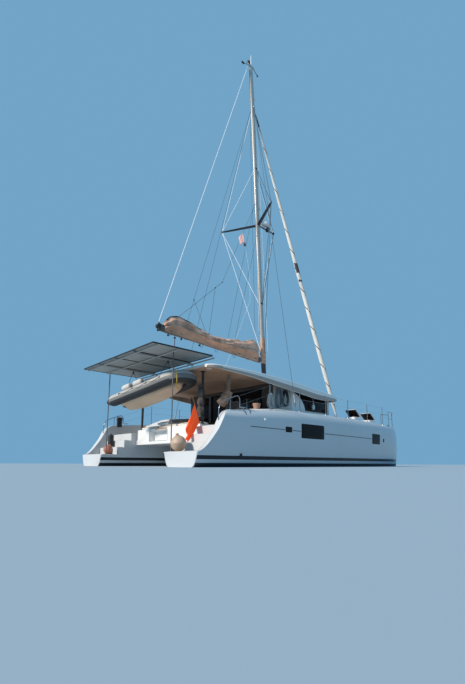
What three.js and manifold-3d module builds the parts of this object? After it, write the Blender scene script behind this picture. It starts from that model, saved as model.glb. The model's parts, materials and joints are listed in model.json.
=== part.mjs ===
// Sailing catamaran at anchor: two hulls, bridgedeck, hollow deckhouse, hardtop, raked mast with
// its boom and furled jib, hanging tender, solar panels and deck gear.
// Millimetres. +X points to the bow, +Y to port, +Z up; Z = 0 is the waterline.
import * as THREE from 'three';
import { mergeVertices } from 'three/addons/utils/BufferGeometryUtils.js';
import Module from 'manifold-3d';

const wasm = await Module();
wasm.setup();

// Driving dimensions of the hulls and the deck
const GAP = 0.3;
const SIDES = [['port', 1], ['starboard', -1]];
const HULL_Y = 2880;
const TRANSOM_X = -6420;
const HULL_INNER = 840;
const BRIDGE_HALF = HULL_Y - HULL_INNER - GAP;
const BRIDGE_AFT_X = -5000;
const BRIDGE_FRONT_X = 3380;
const BRIDGE_UNDER_Z = 800;
const SOLE_Z = 1000;
const DECK_Z = 2050;
const BULWARK_INNER_Y = 3550;
const PLATFORM_Z = 440;
const WALKWAY_Z = 1260;
const WALKWAY_AFT_X = -5220;
const WALKWAY_END_X = -3950;
const STEP_RUN = 280;
const SIDE_STEP = 240;
const BENCH_TOP_Z = 1380;
const BENCH_FRONT_X = -4450;
const CUSHION_THICK = 100;
const HELM_SOLE_Z = 1450;

// Deckhouse and hardtop
const BULKHEAD_X = -2000;
const HOUSE_HALF = 2475;
const HOUSE_FRONT_X = 2100;
const WALL = 50;
const GLASS = 12;
const CEILING_AFT_X = -5250;
const CEILING_AFT_Z = 3150;
const CEILING_SLOPE = -0.028;
const POST_X = -4850;
const POST_Y = 1900;

// Rig: the mast axis leans aft by its rake
const RAKE_SLOPE = 0.046;
const MAST_REF_X = 180;
const MAST_REF_Z = 3600;
const MAST_STEP_Z = 3350;
const MASTHEAD_Z = 19900;
const MAST_CHORD = 240;
const MAST_WIDTH = 150;
const PIN_AFT = 180;
const BOOM_Z = 4700;
const BOOM_END_X = -5480;
const BOOM_RISE = 0.06;
const BOOM_HEIGHT = 260;
const BOOM_WIDTH = 150;
const SPREADER_Z = 11300;
const SPREADER_TIP = [-1000, 1620];
const STRUT_TIP_X = 960;
const HOUNDS_Z = 17500;
const CHAINPLATE = [-2160, 3620, 2020];
const STAY_TOP = [-320, 17470];
const STAY_TACK = [5994, 2200];

// Foredeck
const CROSSBEAM_X = 5990;
const CROSSBEAM_Z = 1640;
const CROSSBEAM_RADIUS = 75;
const SPINE_HALF = 60;
const NOSE_X = 6290;
const NOSE_HALF_HEIGHT = 70;
const NET_Z = 1640;
const LID_THICK = 35;
const HATCH_SIZE = 520;
const HATCHES = [['aft', 2900, 2085], ['forward', 4130, 2035]];
const HATCH_OPEN = 38;
const LOCKER_X = [2330, 3130];
const LOCKER_Y = [180, 1180];

// Foils and drives under the hulls
const KEEL_X = -300;
const KEEL_CHORD = 2300;
const KEEL_TIP_Z = -1250;
const RUDDER_X = -5250;
const RUDDER_TIP_Z = -1130;
const DRIVE_X = -4150;
const DRIVE_Z = -820;
const DRIVE_AFT_X = -4330;
const PROP_RADIUS = 215;
const RUN_CLEAR = 0.5;

// Stern gear
const SOLAR_AFT_X = -7120;
const SOLAR_FRONT_X = -4850;
const SOLAR_HALF = 2410;
const SOLAR_UNDER_Z = 3560;
const SOLAR_THICK = 40;
const SOLAR_LEG = [-6200, 2120];
const FRAME_BEAM_Y = 1150;
const FRAME_PAD = [-4750, 3310];
const TENDER_MID = [-5744, -107, 2556];
const TENDER_TILT = 9.6;
const TENDER_YAW = 10;
const TENDER_AFT = -1750;
const TENDER_HALF = 460;
const TENDER_TUBE = 205;

const part = new THREE.Group();

// Finishes
const finish = (color, roughness, metalness = 0) => ({ color, roughness, metalness });
const GELCOAT = finish(0xe9ebec, 0.25);
const DARK_GLASS = finish(0x14171a, 0.08);
const ALUMINIUM = finish(0xb6afa6, 0.4, 0.8);
const STAINLESS = finish(0xc9cccd, 0.25, 1);
const BLACK_METAL = finish(0x23262a, 0.45, 0.3);
const BRONZE = finish(0x9a7b4c, 0.35, 1);
const ANTIFOUL = finish(0x2a3442, 0.8);
const CANVAS = finish(0xb08d6f, 0.9);
const SAILCLOTH = finish(0xe3ddd2, 0.8);
const CUSHION = finish(0xe6e0d6, 0.85);
const NETTING = finish(0xd9dcdd, 0.8);
const TEAK = finish(0x8a6545, 0.7);
const SOLAR = finish(0x2b3036, 0.3);
const TUBE_GREY = finish(0xb9bdc1, 0.6);
const TENDER_BEIGE = finish(0xd9cdb8, 0.5);

// Solids: a closed geometry with its shared vertices merged becomes a solid that joins and cuts
function toSolid(geometry) {
  const bare = geometry.clone();
  bare.deleteAttribute('normal');
  bare.deleteAttribute('uv');
  const welded = mergeVertices(bare, 0.001);
  return new wasm.Manifold(new wasm.Mesh({
    numProp: 3,
    vertProperties: Float32Array.from(welded.attributes.position.array),
    triVerts: Uint32Array.from(welded.index.array),
  }));
}

function addPiece(name, solid, material) {
  const mesh = solid.getMesh();
  const geometry = new THREE.BufferGeometry();
  geometry.setAttribute('position', new THREE.BufferAttribute(mesh.vertProperties, 3));
  geometry.setIndex(new THREE.BufferAttribute(mesh.triVerts, 1));
  geometry.computeVertexNormals();
  const piece = new THREE.Mesh(geometry, new THREE.MeshStandardMaterial(material));
  piece.name = name;
  part.add(piece);
}

const join = (...solids) => solids.reduce((sum, solid) => sum.add(solid));

// Cuts a solid back from what it is seated on, and leaves the gap along the shift
const seatOn = (solid, support, shift) => solid.subtract(support.add(support.translate(shift)));

// Six times the signed volume of the tetrahedra from the origin tells which way faces point
function isInsideOut(positions, index) {
  const corner = (i) => new THREE.Vector3().fromArray(positions, index[i] * 3);
  let volume = 0;
  for (let i = 0; i < index.length; i += 3) {
    volume += corner(i).dot(corner(i + 1).cross(corner(i + 2)));
  }
  return volume < 0;
}

// A solid through rings of equal point count, both end rings closed flat; flatten reads a ring
// point in the plane of the rings
function loft(rings, flatten = ([, y, z]) => [y, z]) {
  const count = rings[0].length;
  const last = (rings.length - 1) * count;
  const contourOf = (ring) => ring.map((point) => new THREE.Vector2(...flatten(point)));
  const index = [];
  for (let i = 0; i < last; i += count) {
    for (let j = 0; j < count; j += 1) {
      const a = i + j;
      const b = i + (j + 1) % count;
      index.push(a, b, a + count, b, b + count, a + count);
    }
  }
  for (const [ring, offset, isEnd] of [[rings[0], 0, false], [rings.at(-1), last, true]]) {
    const contour = contourOf(ring);
    const forward = THREE.ShapeUtils.isClockWise(contour) !== isEnd;
    for (const [i, j, k] of THREE.ShapeUtils.triangulateShape(contour, [])) {
      index.push(offset + i, offset + (forward ? j : k), offset + (forward ? k : j));
    }
  }
  const positions = rings.flat(2);
  if (isInsideOut(positions, index)) index.reverse();
  const geometry = new THREE.BufferGeometry();
  geometry.setAttribute('position', new THREE.Float32BufferAttribute(positions, 3));
  geometry.setIndex(index);
  return toSolid(geometry);
}

// Outlines drawn out along Y, Z and X
const slabXZ = (points, low, high) => loft(
  [low, high].map((y) => points.map(([x, z]) => [x, y, z])),
  ([x, , z]) => [x, z],
);
const slabXY = (points, low, high) => loft(
  [low, high].map((z) => points.map(([x, y]) => [x, y, z])),
  ([x, y]) => [x, y],
);
const slabYZ = (points, low, high) => loft([low, high].map((x) => points.map(([y, z]) => [x, y, z])));

function box(low, high) {
  const size = high.map((value, i) => value - low[i]);
  const geometry = new THREE.BoxGeometry(...size);
  geometry.translate(...low.map((value, i) => value + size[i] / 2));
  return toSolid(geometry);
}

// A box given for the port side, placed on either side
const sideBox = (low, high, side) => {
  const [near, far] = side > 0 ? [low[1], high[1]] : [-high[1], -low[1]];
  return box([low[0], near, low[2]], [high[0], far, high[2]]);
};

function ball(centre, radius, sides = 12) {
  const geometry = new THREE.SphereGeometry(radius, sides, sides / 2);
  geometry.translate(...centre);
  return toSolid(geometry);
}

function rod(from, to, radius, sides = 8, radiusTo = radius) {
  const a = new THREE.Vector3(...from);
  const b = new THREE.Vector3(...to);
  const axis = b.clone().sub(a);
  const geometry = new THREE.CylinderGeometry(radiusTo, radius, axis.length(), sides);
  const turn = new THREE.Quaternion().setFromUnitVectors(new THREE.Vector3(0, 1, 0), axis.normalize());
  geometry.applyQuaternion(turn);
  geometry.translate(...a.add(b).multiplyScalar(0.5).toArray());
  return toSolid(geometry);
}

// Straight tubes from point to point, with a ball at each corner
function railing(points, radius, sides = 6) {
  const runs = points.slice(1).map((point, i) => rod(points[i], point, radius, sides));
  const corners = points.slice(1, -1).map((point) => ball(point, radius, sides));
  return join(...runs, ...corners);
}

// A tube along a curve through the points
function bentTube(points, radius, sides, steps) {
  const path = new THREE.CatmullRomCurve3(points.map((point) => new THREE.Vector3(...point)));
  const section = new THREE.Shape();
  for (let i = 0; i < sides; i += 1) {
    const angle = 2 * Math.PI * i / sides;
    const corner = [radius * Math.cos(angle), radius * Math.sin(angle)];
    if (i === 0) section.moveTo(...corner);
    else section.lineTo(...corner);
  }
  return toSolid(new THREE.ExtrudeGeometry(section, { steps, extrudePath: path }));
}

const asRows = (names, rows) => rows.map((row) => Object.fromEntries(row.map((v, i) => [names[i], v])));

// Reads a column of a table at x, straight between its rows
function readTable(rows, column, x) {
  const next = Math.max(1, rows.findIndex((row) => row.x >= x));
  const [low, high] = [rows[next - 1], rows[next]];
  return THREE.MathUtils.mapLinear(x, low.x, high.x, low[column], high[column]);
}

// Hull sections from the transom to the stem. keelZ: bottom of the canoe body; water: half width
// at Z = 0; wide: outer half width at the knuckle; inner: half width towards the bridgedeck;
// kneeZ: knuckle height; deck: outer half width at the gunwale; railZ: gunwale; deckZ: side deck
const HULL_ROWS = asRows(
  ['x', 'keelZ', 'water', 'wide', 'inner', 'kneeZ', 'deck', 'railZ', 'deckZ'],
  [
    [TRANSOM_X, -40, 590, 925, HULL_INNER, 1400, 800, 1620, 1750],
    [-5900, -110, 630, 930, HULL_INNER, 1400, 805, 1640, 1800],
    [-5200, -220, 680, 940, HULL_INNER, 1400, 815, 1660, 1800],
    [-4200, -350, 730, 955, HULL_INNER, 1420, 820, 1745, 1880],
    [-3000, -460, 765, 968, HULL_INNER, 1450, 825, 1822, 1980],
    [-2200, -510, 780, 970, HULL_INNER, 1480, 825, 1860, DECK_Z],
    [-900, -560, 785, 970, HULL_INNER, 1500, 825, 1880, DECK_Z],
    [600, -580, 770, 968, HULL_INNER, 1500, 822, 1880, DECK_Z],
    [2300, -560, 700, 945, HULL_INNER, 1500, 800, 1862, DECK_Z],
    [3400, -520, 600, 880, HULL_INNER, 1490, 735, 1842, 2020],
    [4200, -470, 490, 790, 765, 1470, 650, 1820, 1980],
    [5000, -400, 350, 640, 620, 1430, 520, 1800, 1930],
    [5600, -320, 220, 460, 445, 1380, 370, 1785, 1880],
    [5950, -240, 130, 315, 305, 1330, 250, 1765, 1830],
    [6180, -160, 68, 180, 175, 1270, 140, 1690, 1730],
    [6300, -80, 30, 80, 78, 1180, 60, 1540, 1560],
    [6350, -20, 8, 16, 16, 900, 12, 1150, 1160],
  ],
);
const BILGE_ANGLES = [0, 25, 50, 72, 90];
const OUTER_STEPS = [0.1, 0.3, 0.62, 1];
const INNER_STEPS = [0.18, 0.5, 1];
const INNER_FULL_Z = 760;
const CAMBER_FROM = 0.3;

// One closed section seen from astern: half widths measured from the hull's own centre plane,
// with the boat's outer side positive
function hullSection(row) {
  const flare = (far, t) => row.water + (far - row.water) * Math.sin(t * Math.PI / 2) ** 0.55;
  const bilge = BILGE_ANGLES.map(THREE.MathUtils.degToRad).map((angle) => [
    row.water * Math.sin(angle),
    row.keelZ * Math.cos(angle),
  ]);
  const fullZ = Math.min(INNER_FULL_Z, row.kneeZ * 0.8);
  return [
    ...bilge,
    ...OUTER_STEPS.map((t) => [flare(row.wide, t), row.kneeZ * t]),
    [row.deck + 6, row.railZ - 45],
    [row.deck * 0.92, row.railZ + 5],
    [row.deck * 0.8, row.railZ + 22],
    [-row.inner * CAMBER_FROM, row.deckZ],
    [-row.inner * 0.98, row.deckZ],
    [-row.inner, row.deckZ - row.inner * 0.02],
    ...INNER_STEPS.map((t) => [-flare(row.inner, t), fullZ * t]).reverse(),
    ...bilge.slice(1).map(([half, z]) => [-half, z]).reverse(),
  ];
}

const hullBody = (side) => loft(
  HULL_ROWS.map((row) => hullSection(row).map(([half, z]) => [row.x, side * (HULL_Y + half), z])),
);

// A flight of three equal steps: points from its foot at x and z, going forward
const flight = (x, z, run, rise) => [0, 1, 2].flatMap((i) => [
  [x + i * run, z + i * rise],
  [x + i * run, z + (i + 1) * rise],
]);

// What is open above the stern platform, the steps, the walkway and the steps to the side deck
const OPEN_AFT_X = TRANSOM_X - 100;
const OPEN_TOP_Z = 2600;
const STEP_OPENING = [
  [OPEN_AFT_X, PLATFORM_Z],
  ...flight(WALKWAY_AFT_X - 2 * STEP_RUN, PLATFORM_Z, STEP_RUN, (WALKWAY_Z - PLATFORM_Z) / 3),
  ...flight(WALKWAY_END_X, WALKWAY_Z, SIDE_STEP, SIDE_STEP),
  [WALKWAY_END_X + 2 * SIDE_STEP, OPEN_TOP_Z],
  [OPEN_AFT_X, OPEN_TOP_Z],
];

// What is cut off above the slanted end of the bulwark
const BULWARK_END = [
  [OPEN_AFT_X, PLATFORM_Z], [-6380, PLATFORM_Z], [-5800, 1030], [-5530, 1500], [-5440, 1590],
  [-5300, 1650], [-5200, OPEN_TOP_Z], [OPEN_AFT_X, OPEN_TOP_Z],
];

const CUT_INBOARD = HULL_Y - 1000;
const CUT_OUTBOARD = HULL_Y + 1100;
const PLATE_HALF = [45, 8];
const FRAME_DEPTH = 200;
const HATCH_RIM = 10;

function hull(side) {
  const mirrored = (points, low, high) => slabXZ(points, ...(side > 0 ? [low, high] : [-high, -low]));
  const [plateX, plateY, plateZ] = CHAINPLATE;
  const chainplate = sideBox(
    [plateX - PLATE_HALF[0], plateY - PLATE_HALF[1], plateZ - FRAME_DEPTH],
    [plateX + PLATE_HALF[0], plateY + PLATE_HALF[1], plateZ],
    side,
  );
  const frames = HATCHES.map(([, hingeX, topZ]) => sideBox(
    [hingeX - HATCH_SIZE - HATCH_RIM, HULL_Y - HATCH_SIZE / 2, topZ - FRAME_DEPTH],
    [hingeX + HATCH_RIM, HULL_Y + HATCH_SIZE / 2, topZ],
    side,
  ));
  return hullBody(side)
    .subtract(mirrored(STEP_OPENING, CUT_INBOARD, BULWARK_INNER_Y))
    .subtract(mirrored(BULWARK_END, CUT_INBOARD, CUT_OUTBOARD))
    .add(join(chainplate, ...frames));
}

// Foils: half thickness along the chord, from the leading edge
const FOIL_SHAPE = [[0, 0], [0.08, 0.55], [0.3, 1], [0.65, 0.7], [1, 0.08]];

function foil(lead, tipLead, chord, tipChord, topZ, tipZ, thickness, y) {
  const ringAt = (x, length, z) => [
    ...FOIL_SHAPE.map(([s, h]) => [x - s * length, y + h * thickness / 2, z]),
    ...FOIL_SHAPE.slice(1).reverse().map(([s, h]) => [x - s * length, y - h * thickness / 2, z]),
  ];
  return loft([ringAt(lead, chord, topZ), ringAt(tipLead, tipChord, tipZ)], ([x, y]) => [x, y]);
}

function keel(body, y) {
  const lead = KEEL_X + KEEL_CHORD / 2;
  const fin = foil(lead, lead - 260, KEEL_CHORD, KEEL_CHORD * 0.78, -400, KEEL_TIP_Z, 260, y);
  return seatOn(fin, body, [0, 0, -GAP]);
}

// The blade's top is level, just under the hull, so that it turns clear of the skin
function rudder(y) {
  const lead = RUDDER_X + 170;
  const topZ = readTable(HULL_ROWS, 'keelZ', lead) - 12;
  const blade = foil(lead, lead - 40, 560, 400, topZ, RUDDER_TIP_Z, 90, y);
  const stockTop = readTable(HULL_ROWS, 'keelZ', RUDDER_X + 30) - RUN_CLEAR;
  return blade.add(rod([RUDDER_X, y, topZ - 120], [RUDDER_X, y, stockTop], 30, 12));
}

function saildrive(body, y) {
  const lead = DRIVE_X + 150;
  const leg = foil(lead, lead - 20, 300, 250, -300, DRIVE_Z, 95, y);
  const bullet = rod([DRIVE_AFT_X, y, DRIVE_Z], [DRIVE_X + 120, y, DRIVE_Z], 65, 12, 40);
  const skeg = foil(lead - 60, lead - 130, 180, 90, DRIVE_Z, DRIVE_Z - 150, 30, y);
  return seatOn(join(leg, bullet, skeg), body, [0, 0, -GAP]);
}

// Three twisted blades on a hub, turning about X behind the drive
function propeller(y) {
  const hubFront = DRIVE_AFT_X - RUN_CLEAR;
  const hub = rod([hubFront, 0, 0], [hubFront - 130, 0, 0], 55, 12, 30);
  const blade = loft([
    [[-20, -40, 20], [-4, -48, 20], [20, 40, 20], [4, 48, 20]],
    [[-30, -64, 140], [-14, -72, 140], [30, 64, 140], [14, 72, 140]],
    [[-24, -26, PROP_RADIUS], [-12, -34, PROP_RADIUS], [24, 26, PROP_RADIUS], [12, 34, PROP_RADIUS]],
  ], ([x, y]) => [x, y]).translate([hubFront - 60, 0, 0]);
  const blades = [0, 120, 240].map((angle) => blade.rotate([angle, 0, 0]));
  return join(hub, ...blades).translate([0, y, DRIVE_Z]);
}

// The bridgedeck: sole, foredeck block with its raked front, aft bench and helm platform
const BRIDGE_SIDE = [
  [BRIDGE_AFT_X, BRIDGE_UNDER_Z], [2500, BRIDGE_UNDER_Z], [3050, 1000], [BRIDGE_FRONT_X - 50, 1400],
  [BRIDGE_FRONT_X, 1850], [BRIDGE_FRONT_X - 50, 2000], [BRIDGE_FRONT_X - 130, DECK_Z],
  [HOUSE_FRONT_X - 150, DECK_Z], [HOUSE_FRONT_X - 150, SOLE_Z], [BRIDGE_AFT_X, SOLE_Z],
];
const AFT_RECESS = [[BRIDGE_AFT_X - 50, -100, 930], [BRIDGE_AFT_X + 220, 1080, 1290]];
const SIDE_BENCH_X = [-3850, -2200];
const SIDE_BENCH_Y = 1350;
const HELM_FLOOR_X = [-3250, BULKHEAD_X - WALL - 10];
const HELM_FLOOR_Y = -1050;
const BLOCK_ROOT = 50;

function bridgedeck() {
  const benchHalf = BRIDGE_HALF - 80;
  return slabXZ(BRIDGE_SIDE, -BRIDGE_HALF, BRIDGE_HALF)
    .add(box([BRIDGE_AFT_X, -benchHalf, SOLE_Z - BLOCK_ROOT], [BENCH_FRONT_X, benchHalf, BENCH_TOP_Z]))
    .add(box([SIDE_BENCH_X[0], SIDE_BENCH_Y, SOLE_Z - BLOCK_ROOT], [SIDE_BENCH_X[1], BRIDGE_HALF, BENCH_TOP_Z]))
    .add(box([HELM_FLOOR_X[0], -BRIDGE_HALF, SOLE_Z - BLOCK_ROOT], [HELM_FLOOR_X[1], HELM_FLOOR_Y, HELM_SOLE_Z]))
    .subtract(box(...AFT_RECESS));
}

// The ceiling falls towards the bow; everything that reaches it is cut off just below
const ceilingZ = (x) => CEILING_AFT_Z + CEILING_SLOPE * (x - CEILING_AFT_X);
const CUT_X = [-5500, 3000];
const CUT_HALF = 3000;
const CUT_TOP_Z = 4000;
const ABOVE_CEILING = slabXZ(
  [...CUT_X.map((x) => [x, ceilingZ(x) - GAP]), [CUT_X[1], CUT_TOP_Z], [CUT_X[0], CUT_TOP_Z]],
  -CUT_HALF,
  CUT_HALF,
);

// Half outline of the deckhouse from the bulkhead round to the middle of its front
const HOUSE_PLAN = [
  [BULKHEAD_X, HOUSE_HALF], [1480, HOUSE_HALF], [1900, HOUSE_HALF - 260], [HOUSE_FRONT_X, 1850],
];
const housePlan = (inset) => {
  const half = HOUSE_PLAN.map(([x, y], i) => [x - (i > 0 ? inset * 0.8 : 0), y - inset]);
  return [...half, ...half.map(([x, y]) => [x, -y]).reverse()];
};
const SIDE_WINDOW = [
  [-130, 2180], [1380, 2180], [1380, 2860], [-860, 2860], [-560, 2740], [-330, 2560], [-190, 2380],
];
const FRONT_WINDOWS = [[-1640, -600], [-500, 500], [600, 1640]];
const FRONT_WINDOW_Z = [2260, 2850];
const SIDE_GLASS_MARGIN = 30;
const HOUSE_TALL_Z = 3300;

function deckhouse() {
  const floor = DECK_Z + GAP;
  const inner = housePlan(WALL);
  const aft = BULKHEAD_X - 100;
  const inside = slabXY([[aft, inner[0][1]], ...inner, [aft, inner.at(-1)[1]]], floor - 100, CUT_TOP_Z);
  const windows = FRONT_WINDOWS.map(([low, high]) => box(
    [HOUSE_FRONT_X - 200, low, FRONT_WINDOW_Z[0]],
    [HOUSE_FRONT_X + 100, high, FRONT_WINDOW_Z[1]],
  ));
  return slabXY(housePlan(0), floor, HOUSE_TALL_Z)
    .subtract(inside)
    .subtract(slabXZ(SIDE_WINDOW, -CUT_HALF, CUT_HALF))
    .subtract(join(...windows))
    .subtract(ABOVE_CEILING);
}

// Side glass bonded to the inner face of the wall, a margin larger than its opening
function sideGlass(side) {
  const centreX = 500;
  const centreZ = 2500;
  const grow = ([x, z]) => [
    x + Math.sign(x - centreX) * SIDE_GLASS_MARGIN,
    z + Math.sign(z - centreZ) * SIDE_GLASS_MARGIN,
  ];
  const outer = HOUSE_HALF - WALL - GAP;
  const span = side > 0 ? [outer - GLASS, outer] : [-outer, -outer + GLASS];
  return slabXZ(SIDE_WINDOW.map(grow), ...span);
}

function frontGlass() {
  const face = HOUSE_FRONT_X - WALL * 0.8 - GAP;
  const half = FRONT_WINDOWS[2][1] + 60;
  return box([face - GLASS, -half, FRONT_WINDOW_Z[0] - 40], [face, half, FRONT_WINDOW_Z[1] + 40]);
}

// The bulkhead between saloon and cockpit: a door opening and a window on each side of it
const DOOR_Y = [-150, 1050];
const DOOR_TOP_Z = 2940;
const SILL = 40;
const BULKHEAD_WINDOWS = [['port', 1190, 1930], ['starboard', -1930, -290]];
const BULKHEAD_WINDOW_Z = [1860, 2920];
const DOOR_THICK = 40;
const DOOR_TRAVEL = 1120;

function bulkhead() {
  const back = BULKHEAD_X - WALL - GAP;
  const wing = (side) => [
    [side * BRIDGE_HALF, DECK_Z + GAP],
    [side * HOUSE_HALF, DECK_Z + GAP],
    [side * HOUSE_HALF, HOUSE_TALL_Z],
  ];
  const outline = [[-BRIDGE_HALF, SOLE_Z + GAP], [BRIDGE_HALF, SOLE_Z + GAP], ...wing(1), ...wing(-1).reverse()];
  const windows = BULKHEAD_WINDOWS.map(([, low, high]) => box(
    [back - 10, low, BULKHEAD_WINDOW_Z[0]],
    [BULKHEAD_X + 10, high, BULKHEAD_WINDOW_Z[1]],
  ));
  const helmCorner = box([back - 10, -3000, SOLE_Z - 10], [BULKHEAD_X, -1040, SOLE_Z]);
  return slabYZ(outline, back, BULKHEAD_X - GAP)
    .subtract(box([back - 10, DOOR_Y[0], SOLE_Z + SILL], [BULKHEAD_X + 10, DOOR_Y[1], DOOR_TOP_Z]))
    .subtract(join(...windows, helmCorner))
    .subtract(ABOVE_CEILING);
}

const bulkheadGlass = (low, high) => box(
  [BULKHEAD_X, low - 40, BULKHEAD_WINDOW_Z[0] - 40],
  [BULKHEAD_X + GLASS, high + 40, BULKHEAD_WINDOW_Z[1] + 40],
);

// A framed glass door that slides to starboard inside the saloon
function saloonDoor() {
  const aft = BULKHEAD_X + GLASS + 8;
  const low = [aft, DOOR_Y[0] - 60, SOLE_Z + RUN_CLEAR];
  const high = [aft + DOOR_THICK, DOOR_Y[1] + 60, DOOR_TOP_Z + 50];
  const frame = box(low, high);
  const opening = box(
    [low[0] - 10, low[1] + 70, low[2] + 110],
    [high[0] + 10, high[1] - 70, high[2] - 80],
  );
  const pane = box([aft + 14, low[1] + 60, low[2] + 100], [aft + 14 + GLASS, high[1] - 60, high[2] - 70]);
  return frame.subtract(opening).add(pane);
}

// Hardtop sections from aft to the visor: half width, edge height, foot of the side band, crown
const ROOF_ROWS = asRows(['x', 'half', 'edgeZ', 'bandZ', 'crownZ'], [
  [-5250, 2600, 3215, 3112, 3275],
  [-5000, 2740, 3230, 3095, 3300],
  [-3600, 2850, 3225, 3010, 3345],
  [-2200, 2880, 3180, 2860, 3350],
  [-1000, 2880, 3110, 2745, 3345],
  [400, 2830, 3010, 2640, 3310],
  [1500, 2700, 2960, 2700, 3210],
  [2200, 2430, 2945, 2790, 3095],
  [2600, 2050, 2945, 2860, 3015],
  [2820, 1560, 2950, 2895, 2985],
]);
const CAMBER_STEPS = [0.35, 0.68, 0.9, 0.985];
const LIP = [50, 110];

function roofSection({ x, half, edgeZ, bandZ, crownZ }) {
  const side = [
    ...CAMBER_STEPS.map((t) => [half * t, edgeZ + (crownZ - edgeZ) * (1 - t ** 2.2)]),
    [half, edgeZ - 14],
    [half - 8, bandZ + 10],
    [half - LIP[0], bandZ],
    [half - LIP[1], ceilingZ(x)],
  ];
  return [[0, crownZ], ...side, ...side.map(([y, z]) => [-y, z]).reverse()].map(([y, z]) => [x, y, z]);
}

function hardtop() {
  const step = box([MAST_REF_X - 260, -170, 3200], [MAST_REF_X + 240, 170, MAST_STEP_Z]);
  const pads = SIDES.map(([, side]) => box(
    [FRAME_PAD[0] - 60, side * FRAME_BEAM_Y - 60, FRAME_PAD[1] - 120],
    [FRAME_PAD[0] + 60, side * FRAME_BEAM_Y + 60, FRAME_PAD[1]],
  ));
  return join(loft(ROOF_ROWS.map(roofSection)), step, ...pads);
}

const roofPost = (side) => rod(
  [POST_X, side * POST_Y, BENCH_TOP_Z + GAP],
  [POST_X, side * POST_Y, CEILING_AFT_Z + 20],
  45,
  12,
).subtract(ABOVE_CEILING);

// Rig
const mastX = (z) => MAST_REF_X - (z - MAST_REF_Z) * RAKE_SLOPE;
const pinX = (z) => mastX(z) - PIN_AFT;
const RAKE_DEGREES = THREE.MathUtils.radToDeg(Math.atan(RAKE_SLOPE));
const LUG_Z = [34, 52];

function mastRing(z, scale) {
  const SIDES_ROUND = 12;
  return Array.from({ length: SIDES_ROUND }, (_, i) => {
    const angle = (i + 0.5) * 2 * Math.PI / SIDES_ROUND;
    return [
      mastX(z) + scale * MAST_CHORD / 2 * Math.cos(angle),
      scale * MAST_WIDTH / 2 * Math.sin(angle),
      z,
    ];
  });
}

const mastTube = () => loft(
  [mastRing(MAST_STEP_Z + 20, 1), mastRing(HOUNDS_Z, 1), mastRing(MASTHEAD_Z, 0.8)],
  ([x, y]) => [x, y],
);

function mast() {
  const foot = box(
    [mastX(MAST_STEP_Z) - 200, -130, MAST_STEP_Z + GAP],
    [mastX(MAST_STEP_Z) + 180, 130, MAST_STEP_Z + 25],
  );
  const crane = box(
    [pinX(MASTHEAD_Z) - 70, -40, MASTHEAD_Z - 60],
    [mastX(MASTHEAD_Z) + 200, 40, MASTHEAD_Z + 25],
  );
  const hounds = mastX(HOUNDS_Z);
  const tangs = box([hounds - 40, -130, HOUNDS_Z], [hounds + 40, 130, HOUNDS_Z + 50]);
  const stayTang = box([hounds, -20, STAY_TOP[1] + GAP], [STAY_TOP[0] + 30, 20, HOUNDS_Z + 50]);
  const lugs = [LUG_Z, [-LUG_Z[1], -LUG_Z[0]]].map(([low, high]) => box([-40, -30, low], [130, 30, high]));
  const gooseneck = join(...lugs).rotate([0, -RAKE_DEGREES, 0]).translate([pinX(BOOM_Z), 0, BOOM_Z]);
  const spreaderMastX = mastX(SPREADER_Z);
  const strut = rod([spreaderMastX + 60, 0, SPREADER_Z], [STRUT_TIP_X, 0, SPREADER_Z], 32, 8, 20);
  const radomeArm = box([spreaderMastX + 60, -30, 11430], [420, 30, 11460]);
  const radome = rod([330, 0, 11455], [330, 0, 11640], 230, 14, 190);
  return join(mastTube(), foot, crane, tangs, stayTang, gooseneck, strut, radomeArm, radome);
}

function spreader(side) {
  const ringAt = (x, y, chord, thick) => [
    [x + chord / 2, y, SPREADER_Z], [x, y, SPREADER_Z + thick / 2],
    [x - chord / 2, y, SPREADER_Z], [x, y, SPREADER_Z - thick / 2],
  ];
  const arm = loft(
    [ringAt(mastX(SPREADER_Z), 20 * side, 170, 60), ringAt(SPREADER_TIP[0], SPREADER_TIP[1] * side, 90, 36)],
    ([x, , z]) => [x, z],
  );
  return seatOn(arm, mastTube(), [0, side * GAP, 0]);
}

const boomAxisZ = (x) => BOOM_Z + (pinX(BOOM_Z) - x) * BOOM_RISE;
const BOOM_FRONT_X = pinX(BOOM_Z) - 60;
const BOOM_CAP = 80;
const BOOM_CAP_TOP = 190;

function boomTube(grow) {
  const ringAt = (x) => {
    const halfWidth = BOOM_WIDTH / 2 + grow;
    const halfHeight = BOOM_HEIGHT / 2 + grow;
    const corners = [[0.5, 1], [1, 0.6], [1, -0.6], [0.5, -1], [-0.5, -1], [-1, -0.6], [-1, 0.6], [-0.5, 1]];
    return corners.map(([y, z]) => [x, y * halfWidth, boomAxisZ(x) + z * halfHeight]);
  };
  return loft([ringAt(BOOM_FRONT_X + grow), ringAt(BOOM_END_X - grow)]);
}

function boom() {
  const capZ = boomAxisZ(BOOM_END_X);
  const cap = box([BOOM_END_X - BOOM_CAP, -85, capZ - 160], [BOOM_END_X, 85, capZ + BOOM_CAP_TOP]);
  const neck = box([-90, -22, -LUG_Z[0] + RUN_CLEAR], [0, 22, LUG_Z[0] - RUN_CLEAR]);
  const eye = rod([0, 0, -LUG_Z[0] + RUN_CLEAR], [0, 0, LUG_Z[0] - RUN_CLEAR], 28, 12);
  const tongue = neck.add(eye).rotate([0, -RAKE_DEGREES, 0]).translate([pinX(BOOM_Z), 0, BOOM_Z]);
  return join(boomTube(0), cap, tongue);
}

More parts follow.
